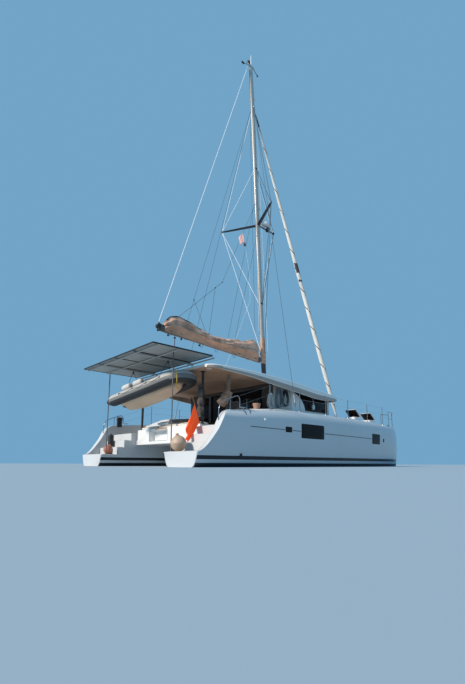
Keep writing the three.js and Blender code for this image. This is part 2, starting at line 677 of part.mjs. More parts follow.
// Sail bag stations along the boom: height over the boom top, half width at mid height and top
const BAG_ROWS = asRows(['x', 'height', 'midHalf', 'topHalf'], [
  [-250, 620, 130, 60],
  [-560, 740, 170, 80],
  [-1000, 540, 190, 90],
  [-1500, 470, 190, 100],
  [-2200, 330, 190, 100],
  [-2900, 250, 190, 100],
  [-3900, 440, 180, 90],
  [-4600, 540, 150, 70],
  [-5200, 170, 110, 60],
]);
const BAG_SKIRT = 170;

function sailBag() {
  const ringOf = ({ x, height, midHalf, topHalf }) => {
    const top = boomAxisZ(x) + BOOM_HEIGHT / 2;
    const side = [
      [topHalf, height], [midHalf, height * 0.62], [midHalf, height * 0.25], [112, 0], [100, -BAG_SKIRT],
    ];
    return [...side, ...side.map(([y, z]) => [-y, z]).reverse()].map(([y, z]) => [x, y, top + z]);
  };
  return loft(BAG_ROWS.map(ringOf)).subtract(boomTube(GAP));
}

// The cover round the mast over the gooseneck, open aft
const COLLAR_Z = [4560, 5740];
const COLLAR_THICK = 25;

function mastCollar() {
  const outline = (grow) => {
    const steps = [-100, -60, -30, 0, 30, 60, 100].map(THREE.MathUtils.degToRad);
    return steps.map((angle) => [
      (MAST_CHORD / 2 + grow) * Math.cos(angle),
      (MAST_WIDTH / 2 + grow) * Math.sin(angle),
    ]);
  };
  const plan = [...outline(COLLAR_THICK), ...outline(GAP + 4).reverse()];
  const rings = COLLAR_Z.map((z) => plan.map(([x, y]) => [mastX(z) + x, y, z]));
  return seatOn(loft(rings, ([x, y]) => [x, y]), mastTube(), [GAP, 0, 0]);
}

function toppingLift() {
  const topZ = MASTHEAD_Z - 63;
  const footZ = boomAxisZ(BOOM_END_X) + BOOM_CAP_TOP + 2.4;
  return rod([BOOM_END_X - BOOM_CAP / 2, 0, footZ], [pinX(topZ), 0, topZ], 6, 6);
}

const STAY_SLOPE = (STAY_TACK[0] - STAY_TOP[0]) / (STAY_TOP[1] - STAY_TACK[1]);
const stayX = (z) => STAY_TACK[0] - (z - STAY_TACK[1]) * STAY_SLOPE;
const stayPoint = (z) => [stayX(z), 0, z];
const DRUM_Z = [2240, 2330];
const JIB_TOP_Z = 17280;

// The furled jib on its foil, with the drum at its foot; radii along the luff
const JIB_ROWS = asRows(['z', 'radius'], [
  [2300, 28], [2700, 45], [3300, 92], [5200, 118], [8500, 108], [12500, 82], [16200, 52], [JIB_TOP_Z, 26],
]);

function furledJib() {
  const ringAt = ({ z, radius }) => Array.from({ length: 10 }, (_, i) => {
    const angle = i * Math.PI / 5;
    const rise = -radius * Math.cos(angle) * STAY_SLOPE;
    return [stayX(z) + radius * Math.cos(angle), radius * Math.sin(angle), z - rise];
  });
  const drum = rod(stayPoint(DRUM_Z[0] + RUN_CLEAR), stayPoint(DRUM_Z[1]), 95, 12);
  return join(drum, loft(JIB_ROWS.map(ringAt), ([x, y]) => [x, y]));
}

function forestayFoot() {
  const noseZ = CROSSBEAM_Z + NOSE_HALF_HEIGHT + GAP;
  const x = stayX(noseZ);
  const plate = box([x - 50, -15, noseZ], [x + 40, 15, noseZ + 70]);
  return plate.add(rod(stayPoint(noseZ + 40), stayPoint(DRUM_Z[0]), 20, 8));
}

const forestayHead = () => rod(stayPoint(JIB_TOP_Z + 4), stayPoint(STAY_TOP[1] - 3.5), 8, 6);

const SHROUD_LIFT = 3.6;

function capShroud(side) {
  const [x, y, z] = CHAINPLATE;
  const foot = new THREE.Vector3(x, y * side, z + SHROUD_LIFT);
  const head = new THREE.Vector3(mastX(HOUNDS_Z), 112 * side, HOUNDS_Z - 2);
  const along = (length) => foot.clone().addScaledVector(head.clone().sub(foot).normalize(), length).toArray();
  return join(
    rod(foot.toArray(), head.toArray(), 6, 6),
    rod(foot.toArray(), along(160), 14, 8),
    rod(along(130), along(520), 20, 8),
  );
}

// Foredeck structure: the crossbeam carries the forestay on its short nose
const crossbeam = () => {
  const tube = rod([CROSSBEAM_X, -2850, CROSSBEAM_Z], [CROSSBEAM_X, 2850, CROSSBEAM_Z], CROSSBEAM_RADIUS, 12);
  const nose = box(
    [CROSSBEAM_X, -SPINE_HALF, CROSSBEAM_Z - NOSE_HALF_HEIGHT],
    [NOSE_X, SPINE_HALF, CROSSBEAM_Z + NOSE_HALF_HEIGHT],
  );
  return SIDES.reduce((cut, [, side]) => seatOn(cut, hullBody(side), [0, -side * GAP, 0]), tube.add(nose));
};

function spine(bridge, beam) {
  const tube = box(
    [BRIDGE_FRONT_X - 60, -SPINE_HALF, CROSSBEAM_Z - NOSE_HALF_HEIGHT],
    [CROSSBEAM_X, SPINE_HALF, CROSSBEAM_Z + NOSE_HALF_HEIGHT],
  );
  return seatOn(seatOn(tube, bridge, [GAP, 0, 0]), beam, [-GAP, 0, 0]);
}

// A net laced a hand's breadth clear of the hull, and drawn up to the bridgedeck and the crossbeam
const NET_THICK = 14;
const LACING = 30;

function trampoline(side, bridge, beam) {
  const aft = BRIDGE_FRONT_X - 60;
  const hullSide = HULL_ROWS.filter(({ x }) => x >= BRIDGE_FRONT_X && x < CROSSBEAM_X)
    .map(({ x, inner }) => [x, HULL_Y - inner - LACING]);
  const outline = [
    [aft, SPINE_HALF + GAP],
    [aft, HULL_Y - HULL_INNER - LACING],
    ...hullSide,
    [CROSSBEAM_X, hullSide.at(-1)[1]],
    [CROSSBEAM_X, SPINE_HALF + GAP],
  ];
  const net = slabXY(outline.map(([x, y]) => [x, side * y]), NET_Z, NET_Z + NET_THICK);
  return seatOn(seatOn(net, bridge, [GAP, 0, 0]), beam, [-GAP, 0, 0]);
}

// Pulpit points: x, distance outboard of the hull's centre plane, height
const PULPIT_RAIL = [[4950, 470, 2490], [5600, 320, 2510], [6080, 90, 2480], [6080, -90, 2480], [5650, -260, 2490]];
const PULPIT_LEGS = [[4950, 470], [5600, 320], [6060, 90], [5650, -260]];

function pulpit(side, body) {
  const place = ([x, out, z]) => [x, side * (HULL_Y + out), z];
  const rail = railing(PULPIT_RAIL.map(place), 14);
  const legs = PULPIT_LEGS.map(([x, out]) => rod(place([x, out * 0.9, 1600]), place([x, out, 2500]), 13, 6));
  const grown = body.add(body.translate([0, 0, GAP]));
  return join(rail, ...legs.map((leg) => leg.subtract(grown)));
}

// Guard rail: stanchions with two wires, ending aft in the stern rail on the bulwark
const STANCHIONS_X = [4240, 2710, 1180, -350, -1880, -3410];
const GUARD_OUT = 0.86;
const GUARD_TOP_Z = 2630;
const STERN_RAIL = [[-4780, 1760, 720], [-4780, 2140, 735], [-5560, 1820, 745], [-5640, 1250, 745]];

function guardRail(side, hullSolid) {
  const outAt = (x) => GUARD_OUT * readTable(HULL_ROWS, 'deck', x);
  const place = (x, z, out = outAt(x)) => [x, side * (HULL_Y + out), z];
  const stanchions = STANCHIONS_X.map((x) => rod(place(x, 1700), place(x, GUARD_TOP_Z), 13, 6));
  const posts = [[4930, 415], ...STANCHIONS_X.map((x) => [x, outAt(x)]), [STERN_RAIL[0][0], STERN_RAIL[0][2]]];
  const wires = [GUARD_TOP_Z - 30, GUARD_TOP_Z - 320].flatMap((z) => posts.slice(1).map(([x, out], i) => rod(
    place(posts[i][0], i === 0 ? z - 150 : z, posts[i][1]),
    place(x, x === STERN_RAIL[0][0] ? z - 480 : z, out),
    4,
    5,
  )));
  const stern = railing(STERN_RAIL.map(([x, z, out]) => place(x, z, out)), 14);
  return seatOn(join(...stanchions, ...wires, stern), hullSolid, [0, 0, GAP]);
}

// A lid lies on its frame; the starboard ones stand open about their forward edge
function hatchLid(hingeX, topZ, side) {
  const lid = box([-HATCH_SIZE, -HATCH_SIZE / 2, GAP], [0, HATCH_SIZE / 2, LID_THICK]);
  const open = side > 0 ? lid : lid.rotate([0, HATCH_OPEN, 0]);
  return open.translate([hingeX, side * HULL_Y, topZ]);
}

const lockerLid = (side) => sideBox(
  [LOCKER_X[0], LOCKER_Y[0], DECK_Z + GAP],
  [LOCKER_X[1], LOCKER_Y[1], DECK_Z + LID_THICK],
  side,
);

// Helm: console on the bulkhead, a wheel turning about X, and a seat
const HELM_Y = -1560;
const CONSOLE_FRONT_X = -2060;
const CONSOLE_AFT_X = -2380;
const WHEEL_X = -2470;
const WHEEL_Z = 2150;
const WHEEL_RADIUS = 350;

function helmConsole() {
  const side = [
    [CONSOLE_FRONT_X, HELM_SOLE_Z + GAP], [CONSOLE_FRONT_X, 2520], [CONSOLE_FRONT_X - 190, 2520],
    [CONSOLE_AFT_X, 2330], [CONSOLE_AFT_X, 1950], [CONSOLE_AFT_X + 90, HELM_SOLE_Z + GAP],
  ];
  return slabXZ(side, HELM_Y - 340, HELM_Y + 340);
}

function helmWheel() {
  const rim = new THREE.TorusGeometry(WHEEL_RADIUS, 16, 6, 32);
  rim.rotateY(Math.PI / 2);
  const spokes = [0, 72, 144, 216, 288].map((angle) => {
    const turn = THREE.MathUtils.degToRad(angle);
    return rod([0, 0, 0], [0, WHEEL_RADIUS * Math.sin(turn), WHEEL_RADIUS * Math.cos(turn)], 9, 6);
  });
  const hub = rod([-30, 0, 0], [CONSOLE_AFT_X - WHEEL_X - RUN_CLEAR, 0, 0], 45, 12);
  return join(toSolid(rim), hub, ...spokes).translate([WHEEL_X, HELM_Y, WHEEL_Z]);
}

function helmSeat() {
  const base = box([-3200, HELM_Y - 330, HELM_SOLE_Z + GAP], [-2930, HELM_Y + 330, 1900]);
  const cushion = box([-3220, HELM_Y - 360, 1890], [-2860, HELM_Y + 360, 1990]);
  const back = box([-3240, HELM_Y - 360, 1890], [-3160, HELM_Y + 360, 2330]);
  return join(base, cushion, back);
}

// Cockpit furniture
const AFT_CUSHION = [[BRIDGE_AFT_X + 30, -1780], [BENCH_FRONT_X - 10, 1780]];

function cockpitTable() {
  const top = box([-3700, 250, 1690], [-2600, 1150, 1730]);
  return top.add(rod([-3150, 700, SOLE_Z + GAP], [-3150, 700, 1700], 70, 12));
}

// Solar panels on a tube frame, carried by two legs on the stern platforms and two on the
// hardtop; the tender hangs from its beams
const FRAME_TUBE_Z = SOLAR_UNDER_Z - 32;
const FRAME_CROSS_X = [-6950, SOLAR_LEG[0], FRAME_PAD[0]];
// Where the four falls meet the tender's tubes: length, across, up
const FALL_ENDS = [[-900, TENDER_HALF, 0], [700, TENDER_HALF * 0.94, 40]];

function solarFrame(tubes) {
  const beams = SIDES.map(([, side]) => box(
    [SOLAR_AFT_X + 100, side * FRAME_BEAM_Y - 30, FRAME_TUBE_Z - 35],
    [FRAME_PAD[0] + 60, side * FRAME_BEAM_Y + 30, SOLAR_UNDER_Z - GAP],
  ));
  const cross = FRAME_CROSS_X.map((x) => rod([x, -2350, FRAME_TUBE_Z], [x, 2350, FRAME_TUBE_Z], 25));
  const legs = SIDES.map(([, side]) => rod(
    [SOLAR_LEG[0], side * SOLAR_LEG[1], PLATFORM_Z + GAP],
    [SOLAR_LEG[0], side * SOLAR_LEG[1], FRAME_TUBE_Z],
    18,
  ));
  const feet = SIDES.map(([, side]) => rod(
    [FRAME_PAD[0], side * FRAME_BEAM_Y, FRAME_PAD[1] + GAP],
    [FRAME_PAD[0], side * FRAME_BEAM_Y, FRAME_TUBE_Z],
    28,
  ));
  const falls = FALL_ENDS.flatMap(([length, across, up], i) => SIDES.map(([, hand]) => rod(
    [TENDER_MID[0], SIDES[i][1] * FRAME_BEAM_Y, FRAME_TUBE_Z - 30],
    tenderPoint(length, hand * across, up),
    7,
    6,
  )));
  const carried = seatOn(join(...falls), tubes, [0, 0, GAP]);
  return join(...beams, ...cross, ...legs, ...feet, carried);
}

const solarPanels = () => box(
  [SOLAR_AFT_X, -SOLAR_HALF, SOLAR_UNDER_Z],
  [SOLAR_FRONT_X, SOLAR_HALF, SOLAR_UNDER_Z + SOLAR_THICK],
);

// The tender lies athwartships, its bow to starboard, raised and a little forward. Its own
// axes: length towards the bow, across, and up
function tenderPoint(length, across, up) {
  const [tilt, yaw] = [TENDER_TILT, TENDER_YAW].map(THREE.MathUtils.degToRad);
  const run = length * Math.cos(tilt) - up * Math.sin(tilt);
  const [x, y, z] = TENDER_MID;
  return [
    x - across * Math.cos(yaw) + run * Math.sin(yaw),
    y - across * Math.sin(yaw) - run * Math.cos(yaw),
    z + length * Math.sin(tilt) + up * Math.cos(tilt),
  ];
}

// Half path of the tube from the stern to the bow: length, across, up
const TENDER_PATH = [
  [TENDER_AFT + 330, TENDER_HALF, 0], [-600, TENDER_HALF, 0], [350, TENDER_HALF, 0],
  [1250, TENDER_HALF, 5], [1570, TENDER_HALF * 0.86, 15], [1710, TENDER_HALF * 0.45, 30], [1740, 0, 35],
];

function tenderTubes() {
  const half = TENDER_PATH.map((point) => tenderPoint(...point));
  const other = TENDER_PATH.slice(0, -1).map(([l, a, u]) => tenderPoint(l, -a, u)).reverse();
  const tube = bentTube([...half, ...other], TENDER_TUBE, 10, 30);
  const cones = SIDES.map(([, side]) => rod(
    tenderPoint(TENDER_AFT + 340, side * TENDER_HALF, 0),
    tenderPoint(TENDER_AFT, side * TENDER_HALF, 10),
    TENDER_TUBE,
    12,
    70,
  ));
  return join(tube, ...cones);
}

// V bottom stations: length, keel depth, chine half width
const TENDER_ROWS = asRows(['length', 'keel', 'chine'], [
  [-1150, -370, 400], [-450, -460, 400], [600, -460, 370], [1200, -380, 250], [1480, -230, 90],
]);

function tenderHull(tubes) {
  const ringOf = ({ length, keel: depth, chine }) => [
    [0, depth], [chine, depth * 0.55], [chine, -60], [-chine, -60], [-chine, depth * 0.55],
  ].map(([across, up]) => tenderPoint(length, across, up));
  const shell = loft(TENDER_ROWS.map(ringOf), ([x, , z]) => [x, z]);
  return SIDES.reduce((seated, [, hand]) => seatOn(seated, tubes, tenderShift(hand * GAP)), shell);
}

// A short move down and across in the tender's own axes
function tenderShift(across) {
  const middle = tenderPoint(0, 0, 0);
  return tenderPoint(0, across, -GAP).map((value, i) => value - middle[i]);
}

const STAFF_FOOT = [BRIDGE_AFT_X + 20, -1935, BENCH_TOP_Z + 8.4];
const STAFF_HEAD = [-5560, -2300, 2130];

// Assembly
const bridge = bridgedeck();
const beam = crossbeam();
const tubes = tenderTubes();

for (const [word, side] of SIDES) {
  const y = side * HULL_Y;
  const body = hullBody(side);
  const hullSolid = hull(side);
  addPiece(`hull_${word}`, hullSolid, GELCOAT);
  addPiece(`keel_${word}`, keel(body, y), ANTIFOUL);
  addPiece(`rudder_${word}`, rudder(y), ANTIFOUL);
  addPiece(`saildrive_${word}`, saildrive(body, y), ALUMINIUM);
  addPiece(`propeller_${word}`, propeller(y), BRONZE);
  addPiece(`side_glass_${word}`, sideGlass(side), DARK_GLASS);
  addPiece(`roof_post_${word}`, roofPost(side), BLACK_METAL);
  addPiece(`spreader_${word}`, spreader(side), BLACK_METAL);
  addPiece(`cap_shroud_${word}`, capShroud(side), STAINLESS);
  addPiece(`trampoline_${word}`, trampoline(side, bridge, beam), NETTING);
  addPiece(`pulpit_${word}`, pulpit(side, body), STAINLESS);
  addPiece(`guard_rail_${word}`, guardRail(side, hullSolid), STAINLESS);
  addPiece(`locker_lid_${word}`, lockerLid(side), GELCOAT);
  for (const [place, hingeX, topZ] of HATCHES) {
    addPiece(`hatch_${place}_${word}`, hatchLid(hingeX, topZ, side), DARK_GLASS);
  }
}
for (const [word, low, high] of BULKHEAD_WINDOWS) {
  addPiece(`bulkhead_glass_${word}`, bulkheadGlass(low, high), DARK_GLASS);
}

addPiece('bridgedeck', bridge, GELCOAT);
addPiece('deckhouse', deckhouse(), GELCOAT);
addPiece('front_glass', frontGlass(), DARK_GLASS);
addPiece('bulkhead', bulkhead(), GELCOAT);
addPiece('saloon_door', saloonDoor(), DARK_GLASS);
addPiece('hardtop', hardtop(), GELCOAT);
addPiece('mast', mast(), ALUMINIUM);
addPiece('mast_collar', mastCollar(), CANVAS);
addPiece('boom', boom(), ALUMINIUM);
addPiece('sail_bag', sailBag(), CANVAS);
addPiece('topping_lift', toppingLift(), SAILCLOTH);
addPiece('furled_jib', furledJib(), SAILCLOTH);
addPiece('forestay_foot', forestayFoot(), STAINLESS);
addPiece('forestay_head', forestayHead(), STAINLESS);
addPiece('crossbeam', beam, ALUMINIUM);
addPiece('spine_beam', spine(bridge, beam), ALUMINIUM);
addPiece('helm_console', helmConsole(), GELCOAT);
addPiece('helm_wheel', helmWheel(), STAINLESS);
addPiece('helm_seat', helmSeat(), CUSHION);
addPiece('cockpit_table', cockpitTable(), TEAK);
addPiece('cushion_aft', box(
  [...AFT_CUSHION[0], BENCH_TOP_Z + GAP],
  [...AFT_CUSHION[1], BENCH_TOP_Z + CUSHION_THICK],
), CUSHION);
addPiece('cushion_side', box(
  [SIDE_BENCH_X[0] + 20, SIDE_BENCH_Y + 20, BENCH_TOP_Z + GAP],
  [SIDE_BENCH_X[1] - 20, BRIDGE_HALF - 20, BENCH_TOP_Z + CUSHION_THICK],
), CUSHION);
addPiece('solar_frame', solarFrame(tubes), STAINLESS);
addPiece('solar_panels', solarPanels(), SOLAR);
addPiece('tender_tubes', tubes, TUBE_GREY);
addPiece('tender_hull', tenderHull(tubes), TENDER_BEIGE);
addPiece('flagstaff', rod(STAFF_FOOT, STAFF_HEAD, 12), TEAK);

part.name = 'sailing_catamaran';
export default part;
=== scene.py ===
import json
import math

import bmesh
import bpy
import numpy as np
from mathutils import Matrix, Vector

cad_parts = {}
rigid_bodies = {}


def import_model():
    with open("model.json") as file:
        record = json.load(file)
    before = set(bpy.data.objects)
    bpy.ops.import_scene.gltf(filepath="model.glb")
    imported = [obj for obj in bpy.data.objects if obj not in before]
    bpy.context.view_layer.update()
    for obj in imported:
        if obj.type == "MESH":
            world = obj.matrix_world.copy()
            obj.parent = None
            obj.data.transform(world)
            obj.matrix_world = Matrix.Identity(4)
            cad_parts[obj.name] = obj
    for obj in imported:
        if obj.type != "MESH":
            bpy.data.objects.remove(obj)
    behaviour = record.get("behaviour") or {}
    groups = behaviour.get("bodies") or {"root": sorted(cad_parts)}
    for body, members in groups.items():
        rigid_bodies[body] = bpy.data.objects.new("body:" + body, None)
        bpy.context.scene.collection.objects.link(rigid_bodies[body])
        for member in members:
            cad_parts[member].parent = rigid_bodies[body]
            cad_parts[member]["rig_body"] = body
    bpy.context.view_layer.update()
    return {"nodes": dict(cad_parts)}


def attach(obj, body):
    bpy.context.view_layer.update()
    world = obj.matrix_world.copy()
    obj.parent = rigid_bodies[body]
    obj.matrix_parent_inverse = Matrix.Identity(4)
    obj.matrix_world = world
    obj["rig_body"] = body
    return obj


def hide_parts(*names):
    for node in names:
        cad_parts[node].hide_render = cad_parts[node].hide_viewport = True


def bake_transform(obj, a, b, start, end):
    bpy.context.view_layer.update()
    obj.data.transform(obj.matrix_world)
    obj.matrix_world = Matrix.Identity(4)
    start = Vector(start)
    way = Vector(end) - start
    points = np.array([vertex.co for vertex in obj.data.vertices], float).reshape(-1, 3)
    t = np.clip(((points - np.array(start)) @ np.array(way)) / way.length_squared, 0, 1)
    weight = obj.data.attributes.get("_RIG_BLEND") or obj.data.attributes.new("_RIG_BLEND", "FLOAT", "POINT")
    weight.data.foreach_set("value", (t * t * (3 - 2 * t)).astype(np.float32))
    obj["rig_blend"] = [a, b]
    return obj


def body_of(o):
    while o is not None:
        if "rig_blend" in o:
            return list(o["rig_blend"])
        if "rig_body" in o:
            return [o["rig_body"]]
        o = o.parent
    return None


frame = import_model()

SIDES = (("port", 1), ("starboard", -1))


# The place the boat floats in: a pale floor at the waterline, an even blue sky light and one
# large soft lamp from astern, a little to port, with the camera just above the water off the
# starboard quarter.
def aim_camera(place, heading, pitch, roll, lens, shift):
    """Camera at place; heading from +X towards +Y, pitch above level, roll, all in degrees."""
    turn = Matrix.Rotation(math.radians(heading - 90), 4, "Z")
    turn @= Matrix.Rotation(math.radians(90 + pitch), 4, "X") @ Matrix.Rotation(math.radians(roll), 4, "Z")
    data = bpy.data.cameras.new("camera")
    data.sensor_width = 36
    data.lens = lens
    data.shift_y = shift
    data.clip_end = 900
    camera = bpy.data.objects.new("camera", data)
    camera.matrix_world = Matrix.Translation(place) @ turn
    bpy.context.scene.collection.objects.link(camera)
    bpy.context.scene.camera = camera


aim_camera(place=(-13.2582, -12.4938, 0.0944), heading=47.385, pitch=9.791, roll=0.165, lens=21.772,
           shift=0.0739)


def lay_floor(half, colour):
    """A square at the waterline, from -half to half both ways."""
    mesh = bpy.data.meshes.new("floor")
    corners = [(-half, -half, 0), (half, -half, 0), (half, half, 0), (-half, half, 0)]
    mesh.from_pydata(corners, [], [(0, 1, 2, 3)])
    floor = bpy.data.objects.new("floor", mesh)
    material = bpy.data.materials.new("studio_floor")
    material.use_nodes = True
    surface = material.node_tree.nodes["Principled BSDF"]
    surface.inputs["Base Color"].default_value = colour
    surface.inputs["Roughness"].default_value = 0.85
    mesh.materials.append(material)
    bpy.context.scene.collection.objects.link(floor)


lay_floor(half=400, colour=(0.34, 0.43, 0.50, 1))


def light_studio(sky, sky_strength, key_from, key_colour, key_strength, key_width):
    """One even sky and one sun, whose light comes from key_from and is key_width degrees wide."""
    world = bpy.data.worlds.new("studio")
    world.use_nodes = True
    background = world.node_tree.nodes["Background"]
    background.inputs["Color"].default_value = (*sky, 1)
    background.inputs["Strength"].default_value = sky_strength
    bpy.context.scene.world = world
    lamp = bpy.data.lights.new("key", "SUN")
    lamp.color = key_colour
    lamp.energy = key_strength
    lamp.angle = math.radians(key_width)
    key = bpy.data.objects.new("key", lamp)
    key.rotation_mode = "QUATERNION"
    key.rotation_quaternion = Vector(key_from).to_track_quat("Z", "Y")
    bpy.context.scene.collection.objects.link(key)
    bpy.context.scene.view_settings.view_transform = "Standard"


light_studio(sky=(0.28, 0.62, 0.95), sky_strength=0.60, key_from=(-0.84, 0.10, 0.50),
             key_colour=(1.0, 0.89, 0.77), key_strength=4.3, key_width=7)


# The two hulls: moulded glassfibre skins with white gelcoat, painted down to a blue-grey for the
# shade and the reflected water on their sides; black boot stripes painted above the waterline
# and antifouling below it. The stern steps and the bulwarks are moulded in.
HULL_Y = 2.88
HULL_ROWS = np.array([
    # place, bottom, half width afloat, widest, inboard, knuckle height, gunwale half width,
    # gunwale height, deck height
    [-6.42, -0.04, 0.590, 0.925, 0.840, 1.40, 0.800, 1.620, 1.75],
    [-5.90, -0.11, 0.630, 0.930, 0.840, 1.40, 0.805, 1.640, 1.80],
    [-5.20, -0.22, 0.680, 0.940, 0.840, 1.40, 0.815, 1.660, 1.80],
    [-4.20, -0.35, 0.730, 0.955, 0.840, 1.42, 0.820, 1.745, 1.88],
    [-3.00, -0.46, 0.765, 0.968, 0.840, 1.45, 0.825, 1.822, 1.98],
    [-2.20, -0.51, 0.780, 0.970, 0.840, 1.48, 0.825, 1.860, 2.05],
    [-0.90, -0.56, 0.785, 0.970, 0.840, 1.50, 0.825, 1.880, 2.05],
    [0.60, -0.58, 0.770, 0.968, 0.840, 1.50, 0.822, 1.880, 2.05],
    [2.30, -0.56, 0.700, 0.945, 0.840, 1.50, 0.800, 1.862, 2.05],
    [3.40, -0.52, 0.600, 0.880, 0.840, 1.49, 0.735, 1.842, 2.02],
    [4.20, -0.47, 0.490, 0.790, 0.765, 1.47, 0.650, 1.820, 1.98],
    [5.00, -0.40, 0.350, 0.640, 0.620, 1.43, 0.520, 1.800, 1.93],
    [5.60, -0.32, 0.220, 0.460, 0.445, 1.38, 0.370, 1.785, 1.88],
    [5.95, -0.24, 0.130, 0.315, 0.305, 1.33, 0.250, 1.765, 1.83],
    [6.18, -0.16, 0.068, 0.180, 0.175, 1.27, 0.140, 1.690, 1.73],
    [6.30, -0.08, 0.030, 0.080, 0.078, 1.18, 0.060, 1.540, 1.56],
    [6.35, -0.02, 0.008, 0.016, 0.016, 0.90, 0.012, 1.150, 1.16],
])
# Slanted end of the bulwark: place and height
BULWARK_END = np.array([
    [-6.42, 0.44], [-6.38, 0.445], [-5.80, 1.03], [-5.53, 1.50], [-5.44, 1.59], [-5.30, 1.65], [-5.18, 1.72],
])
# Steps: where each riser stands and the tread behind it
TREADS = [(-5.78, 0.7133), (-5.50, 0.9867), (-5.22, 1.26), (-3.95, 1.50), (-3.71, 1.74)]
PLATFORM_Z = 0.44
BULWARK_HALF = 0.67
DECK_STARTS_X = -3.47
CAMBER_FROM = 0.3
# Radii of the bulwark's edges and of the deck's inboard edge, and how far the bulwark's top and
# the crown of the deck stand over the gunwale's height
WALL_ROUND, DECK_ROUND, TOP_RISE, CROWN_RISE = 0.02, 0.03, 0.005, 0.022


def through_rows(rows, at):
    """Every column of a table at the places `at`: monotone cubics through its rows, with the
    harmonic mean of the slopes on either side as each row's tangent."""
    x, y = rows[:, 0], rows[:, 1:]
    step = np.diff(x)[:, None]
    slope = np.diff(y, axis=0) / step
    near, far = 2 * step[1:] + step[:-1], step[1:] + 2 * step[:-1]
    same = slope[1:] * slope[:-1] > 0
    safe = np.where(same, slope[:-1], 1), np.where(same, slope[1:], 1)
    middle = np.where(same, (near + far) / (near / safe[0] + far / safe[1]), 0)
    tangent = np.vstack([slope[:1], middle, slope[-1:]])
    at = np.clip(np.asarray(at, float), x[0], x[-1])
    k = np.clip(np.searchsorted(x, at, side="right") - 1, 0, len(x) - 2)
    h = step[k]
    t = (at - x[k])[:, None] / h
    start = (1 + 2 * t) * (1 - t) ** 2 * y[k] + t * (1 - t) ** 2 * h * tangent[k]
    return start + t * t * (3 - 2 * t) * y[k + 1] + t * t * (t - 1) * h * tangent[k + 1]


def skin_half(row, z):
    """Half width of the outer skin at height z: a rising power of a sine from the waterline to
    the knuckle, then a parabola over the rounded shoulder to the gunwale."""
    bottom, afloat, wide, _, knee, gunwale, rail, _ = np.moveaxis(row, -1, 0)
    flare = afloat + (wide - afloat) * np.sin(np.clip(z / knee, 0, 1) * np.pi / 2) ** 0.55
    bend_z, top_z = rail - 0.12, rail + TOP_RISE
    a, b = knee - 2 * bend_z + top_z, 2 * (bend_z - knee)
    root = np.sqrt(np.maximum(b * b - 4 * a * (knee - z), 0))
    t = np.clip((root - b) / (2 * a), 0, 1)
    shoulder = (1 - t) ** 2 * wide + 2 * t * (1 - t) * wide * 0.985 + t * t * gunwale * 0.92
    return np.where(z > knee, shoulder, flare)


def skin_y(side, x, z, lift=0):
    """Y of a hull's outer skin at x and z, lifted outwards."""
    row = through_rows(HULL_ROWS, np.ravel(x)).reshape(*np.shape(x), 8)
    return side * (HULL_Y + skin_half(row, np.asarray(z, float)) + lift)


def circle(count):
    """The angles of that many points round a circle."""
    return np.linspace(0, 2 * np.pi, count, endpoint=False)


def grid_faces(rows, columns, around=True):
    """Four-sided faces of a grid of points; around joins its last column to the first."""
    i, j = np.meshgrid(np.arange(rows - 1), np.arange(columns if around else columns - 1), indexing="ij")
    a, b = i * columns + j, i * columns + (j + 1) % columns
    return np.stack([a, b, b + columns, a + columns], -1).reshape(-1, 4).tolist()


def loft(rings, caps=True):
    """Points and faces of a surface through closed rings, an array of rings by points by 3."""
    rings = np.asarray(rings, float)
    n, m = rings.shape[:2]
    ends = [list(range(m)), list(range((n - 1) * m, n * m))] if caps else []
    return rings.reshape(-1, 3), grid_faces(n, m) + ends


def piece(name, parts, material, body="boat", replaces=None, crease=32, weld=1e-5):
    """One object from (points, faces) pairs: welded, faced outwards, smooth but for its
    creases."""
    points, faces, start = [], [], 0
    for p, f in parts:
        points.append(np.asarray(p, float))
        faces += [[v + start for v in face] for face in f]
        start += len(p)
    mesh = bpy.data.meshes.new(name)
    mesh.from_pydata(np.vstack(points).tolist(), [], faces)
    work = bmesh.new()
    work.from_mesh(mesh)
    bmesh.ops.remove_doubles(work, verts=work.verts, dist=weld)
    bmesh.ops.dissolve_degenerate(work, edges=work.edges, dist=weld)
    bmesh.ops.recalc_face_normals(work, faces=work.faces)
    work.to_mesh(mesh)
    work.free()
    mesh.polygons.foreach_set("use_smooth", np.ones(len(mesh.polygons), bool))
    mesh.set_sharp_from_angle(angle=math.radians(crease))
    mesh.materials.append(material)
    made = bpy.data.objects.new(name, mesh)
    bpy.context.scene.collection.objects.link(made)
    if body:
        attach(made, body)
    if replaces:
        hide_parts(replaces)
    return made


def new_group(name, inputs, outputs):
    """A shader group, with an input for each name and value and an output for each name. A value
    of four numbers makes a colour, and so does the name Colour."""
    group = bpy.data.node_groups.new(name, "ShaderNodeTree")
    for label, value in inputs.items():
        kind = "NodeSocketColor" if isinstance(value, tuple) else "NodeSocketFloat"
        group.interface.new_socket(label, in_out="INPUT", socket_type=kind).default_value = value
    for label in outputs:
        kind = "NodeSocketColor" if label == "Colour" else "NodeSocketFloat"
        group.interface.new_socket(label, in_out="OUTPUT", socket_type=kind)
    return group, group.nodes.new("NodeGroupInput"), group.nodes.new("NodeGroupOutput")


def add_node(tree, kind, settings=(), **links):
    """A node of that kind in the tree. Links give its inputs, by name or as in_0, in_1: an
    output socket of another node, or a value."""
    node = tree.nodes.new(kind)
    for key, value in dict(settings).items():
        setattr(node, key, value)
    for key, value in links.items():
        socket = node.inputs[int(key[3:])] if key.startswith("in_") else node.inputs[key.replace("_", " ")]
        if isinstance(value, bpy.types.NodeSocket):
            tree.links.new(value, socket)
        else:
            socket.default_value = value
    return node


def reckon(tree, operation, *values, clamp=False):
    """What a Math node makes of output sockets or numbers."""
    return add_node(tree, "ShaderNodeMath", {"operation": operation, "use_clamp": clamp},
                    **{f"in_{i}": value for i, value in enumerate(values)}).outputs[0]


